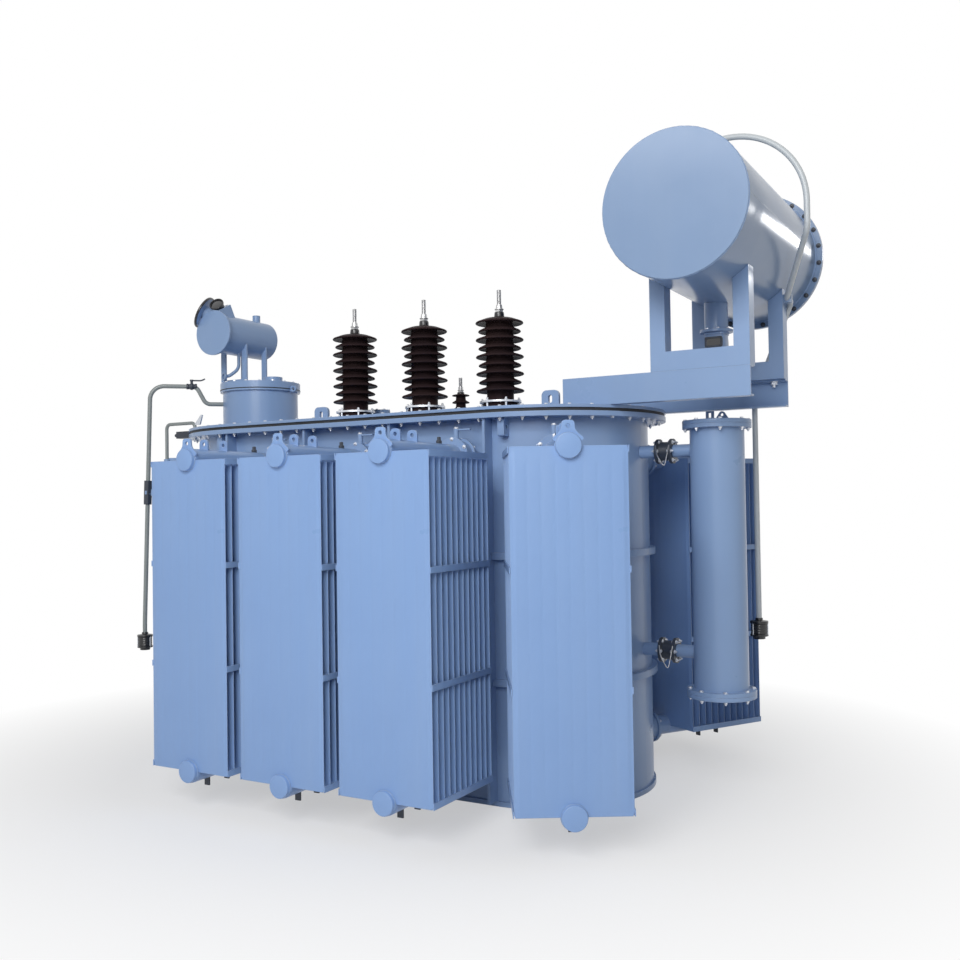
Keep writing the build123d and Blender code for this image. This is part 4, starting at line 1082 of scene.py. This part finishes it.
# Thin pipes beside the tank's left end, with their cocks, clamp and stays
TAP_START = Vector((turret.x, 0, TAP_DROP_TOP.z))
TAP_LINE = (TAP_DROP_TOP - TAP_START).normalized()
bm = bmesh.new()
cock = TAP_START + TAP_COCK_REACH * TAP_LINE
turned(bm, TAP_COCK, SOFT_CASTING, facing(TAP_LINE, cock), 24)
turned(bm, TAP_STEM, SOFT_EDGE, at(*cock), 20)
handle = [cock + Vector((0, 0, rise)) + along * TAP_LINE for along, rise in TAP_HANDLE]
tube(bm, handle, HANDLE_RADIUS, HANDLE_BEND)
clamp = TAP_DROP_TOP.lerp(TAP_DROP_FOOT, TAP_CLAMP_SHARE)
block(bm, -TAP_CLAMP, TAP_CLAMP, facing(TAP_DROP_TOP - TAP_DROP_FOOT, clamp), soft=SOFT_BLOCK)
block(bm, SAMPLE_VALVE_LOW, SAMPLE_VALVE_HIGH, soft=SAMPLE_VALVE_SOFT)
_, y, z = (SAMPLE_VALVE_LOW + SAMPLE_VALVE_HIGH) / 2
turned(bm, SAMPLE_VALVE_KNOB, SOFT_EDGE, facing((-1, 0, 0), (SAMPLE_VALVE_LOW.x, y, z)), 18)
turned(bm, SAMPLE_COCK, SOFT_EDGE, at(SAMPLE_X, SAMPLE_Y, SAMPLE_FOOT - SAMPLE_COCK_DROP), 20)
handle = [(SAMPLE_X + along, SAMPLE_Y, SAMPLE_FOOT + rise) for along, rise in SAMPLE_HANDLE]
tube(bm, handle, HANDLE_RADIUS, HANDLE_BEND)
piece("tap_line_fittings", bm, (CASTING,))


def stay(bm, pipe):
    """A flat bar on edge from the tank's left end to a point of a pipe, with a strap round the pipe."""
    end = Vector((-HALF_STRAIGHT, 0, pipe.z))
    run = pipe - end
    place = at(*end) @ Matrix.Rotation(math.atan2(run.y, run.x), 4, "Z")
    thick = STAY_THICKNESS / 2
    tall = STAY_HEIGHT / 2
    block(bm, (TANK_RADIUS - STAY_SINK, -thick, -tall), (run.length - STAY_END, thick, tall), place)
    near, far = STAY_PAD_FACES
    half = STAY_PAD / 2
    block(bm, (TANK_RADIUS + near, -half, -half), (TANK_RADIUS + far, half, half), place)
    lathe(bm, STAY_STRAP, at(*pipe), 24)


bm = bmesh.new()
for level in STAY_LEVELS:
    stay(bm, Vector((SAMPLE_X, SAMPLE_Y, level)))
stay(bm, clamp)
piece("pipe_stays", bm, (SHADED_TANK_ENAMEL,))

# Small pipe under the tap changer's drum, frame's bolts and breather pipe's clip
bm = bmesh.new()
tube(bm, DRUM_PIPE, DRUM_PIPE_RADIUS, DRUM_PIPE_BEND)
lathe(bm, PIPE_EYE, facing(PIPE_EYE_LOOK, PIPE_EYE_PLACE), 32)
beam_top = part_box("conservator_beams")[1][2]
for x in FRAME_BOLT_X:
    for y in (-FRAME_BOLT_Y, FRAME_BOLT_Y):
        bolt(bm, at(x, y, beam_top), FRAME_BOLT, FRAME_BOLT_GRIP, 1)
block(bm, CLIP_PLACE + CLIP_LOW, CLIP_PLACE + CLIP_HIGH, soft=SOFT_BLOCK)
bolt(bm, facing((0, -1, 0), CLIP_PLACE + Vector((0, CLIP_LOW.y, 0))), CLIP_BOLT, slot=1)
piece("drum_pipe_and_frame_bolts", bm, (SHADED_DRUM_ENAMEL, ZINC))

# Earthing wires across the filter's valves
bm = bmesh.new()
for height in VALVE_LEVELS:
    start = Vector((valve_low[0] + WIRE_INSET, WIRE_END[0], height + WIRE_END[1]))
    end = Vector((valve_high[0] - WIRE_INSET, WIRE_END[0], height + WIRE_END[1]))
    tube(bm, (start, start + WIRE_SAG[0], end + WIRE_SAG[1], end), WIRE_RADIUS, WIRE_BEND, 8)
piece("earthing_wires", bm, (TINNED,))


# Filter column's lids
def filter_lids():
    """Two flat lids with soft edges; a slotted strap and a pointed lifting eye stand on the upper one."""
    bm = bmesh.new()
    disc = rectangle(0, 0, LID_RADIUS, LID_THICKNESS)
    low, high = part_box("filter_column")
    for level in (low[2] - LID_THICKNESS, high[2]):
        turned(bm, disc, SOFT_CASTING, at(column.x, 0, level), 72, steps=3)
    top = at(column.x, 0, high[2] + LID_THICKNESS) @ UPRIGHT
    half = STRAP_WIDTH / 2
    strap = rounded(rectangle(-half, 0, half, STRAP_RISE), SOFT_PLATE, 3)
    width, height, rise = SLIT
    slit = [Vector((width * point.x, height * point.y + rise * STRAP_RISE)) for point in strap]
    prism(bm, strap, EYE_THICKNESS, top @ at(-STRAP_OFFSET, 0, 0), 0, slit)
    hole = circle((0, EYE_HOLE_RISE), EYE_HOLE)
    prism(bm, rounded(EYE, EYE_CORNER, 4), EYE_THICKNESS, top @ at(EYE_OFFSET, 0, 0), 0, hole)
    return bm


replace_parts(piece("filter_lids_dressed", filter_lids(), (SHADED_TANK_ENAMEL,)), "filter_lids")


# Finishes on the carried-over solids; the tank and conservator enamels are darker copies that paint shade
FINISHES_AND_PAINTED_SHADE = {
    # The gasket's black is rubber and also painted shade: the band stands for the shadowed gap under the
    # cover's edge too.
    "cover_gasket": RUBBER,
    "bushing_flanges": ZINC,
    # The filter valves' dark casting colour is partly a real dark finish and partly painted shade, darkening
    # them as if in shadow.
    "filter_valves": CASTING,
    "tap_changer_pipe": PIPE_GREY,
    "breather_pipe": PALE_PIPE,
}
# The conservator's parts take the darker drum enamel, painted shade.
for part in ("upper", "lower", "front", "flange", "cover"):
    FINISHES_AND_PAINTED_SHADE[f"conservator_{part}"] = SHADED_DRUM_ENAMEL
for name, node in NODES.items():
    for slot in node.material_slots:
        slot.material = FINISHES_AND_PAINTED_SHADE.get(name, SHADED_TANK_ENAMEL)


# Floor, light and camera
def background_light(material):
    """A value that is 1 for what the camera sees straight, in gloss or through glass."""
    path = add_node(material, "LightPath").outputs
    either = combine(material, "MAXIMUM", path["Is Camera Ray"], path["Is Glossy Ray"])
    return combine(material, "MAXIMUM", either, path["Is Transmission Ray"])


def make_floor():
    """A plain pale floor that keeps the shadow near the object and fades to white far from it."""
    material = bpy.data.materials.new("pale_floor")
    material.use_nodes = True
    shader = material.node_tree.nodes["Principled BSDF"]
    set_values(shader, Base_Color=FLOOR_COLOUR, Roughness=0.9, Specular_IOR_Level=0.1)
    glow = add_node(material, "Emission", Color=grey(1.0), Strength=1.0)
    place = add_node(material, "TexCoord")
    length = add_node(material, "VectorMath", operation="LENGTH")
    near, far = FLOOR_FADE
    span = add_node(material, "MapRange", From_Min=near, From_Max=far, To_Min=FLOOR_GLOW)
    blend = add_node(material, "MixShader")
    link(place.outputs["Object"], length.inputs[0])
    link(length.outputs["Value"], span.inputs["Value"])
    factor = combine(material, "MULTIPLY", span.outputs["Result"], background_light(material))
    link(factor, blend.inputs["Fac"])
    link(shader.outputs["BSDF"], blend.inputs[1])
    link(glow.outputs["Emission"], blend.inputs[2])
    link(blend.outputs["Shader"], material.node_tree.nodes["Material Output"].inputs["Surface"])
    bm = bmesh.new()
    bmesh.ops.create_grid(bm, x_segments=8, y_segments=8, size=FLOOR_SIZE)
    mesh = finished_mesh("studio_floor", bm, (material,))
    floor = add_object("studio_floor", mesh, at(0, 0, -FLOOR_DROP))


def make_world():
    """Soft light from all round, and a white background to look at."""
    world = bpy.data.worlds.new("studio")
    bpy.context.scene.world = world
    world.use_nodes = True
    background = world.node_tree.nodes["Background"]
    set_values(background, Color=grey(1.0))
    strength = add_node(world, "MapRange", To_Min=AMBIENT, To_Max=1.0)
    link(background_light(world), strength.inputs["Value"])
    link(strength.outputs["Result"], background.inputs["Strength"])


def area_light(name, place, target, width, height, power):
    """A soft rectangular lamp that faces a point and stays out of the camera's sight."""
    lamp = bpy.data.lights.new(name, "AREA")
    lamp.shape = "RECTANGLE"
    lamp.size = width
    lamp.size_y = height
    lamp.energy = power
    turn = (Vector(target) - Vector(place)).to_track_quat("-Z", "Y").to_matrix().to_4x4()
    add_object(name, lamp, at(*place) @ turn).visible_camera = False


def make_camera():
    """The photograph's viewpoint."""
    data = bpy.data.cameras.new("photo_camera")
    data.lens = CAMERA_LENS
    data.sensor_width = SENSOR_WIDTH
    level = at(*CAMERA_PLACE) @ Matrix.Rotation(CAMERA_YAW, 4, "Z")
    aimed = level @ Matrix.Rotation(math.pi / 2 + CAMERA_PITCH, 4, "X")
    place = aimed @ Matrix.Rotation(CAMERA_ROLL, 4, "Z")
    bpy.context.scene.camera = add_object("photo_camera", data, place)


make_floor()
make_world()
for lamp in LAMPS:
    area_light(*lamp)
make_camera()
bpy.context.scene.view_settings.view_transform = "Standard"
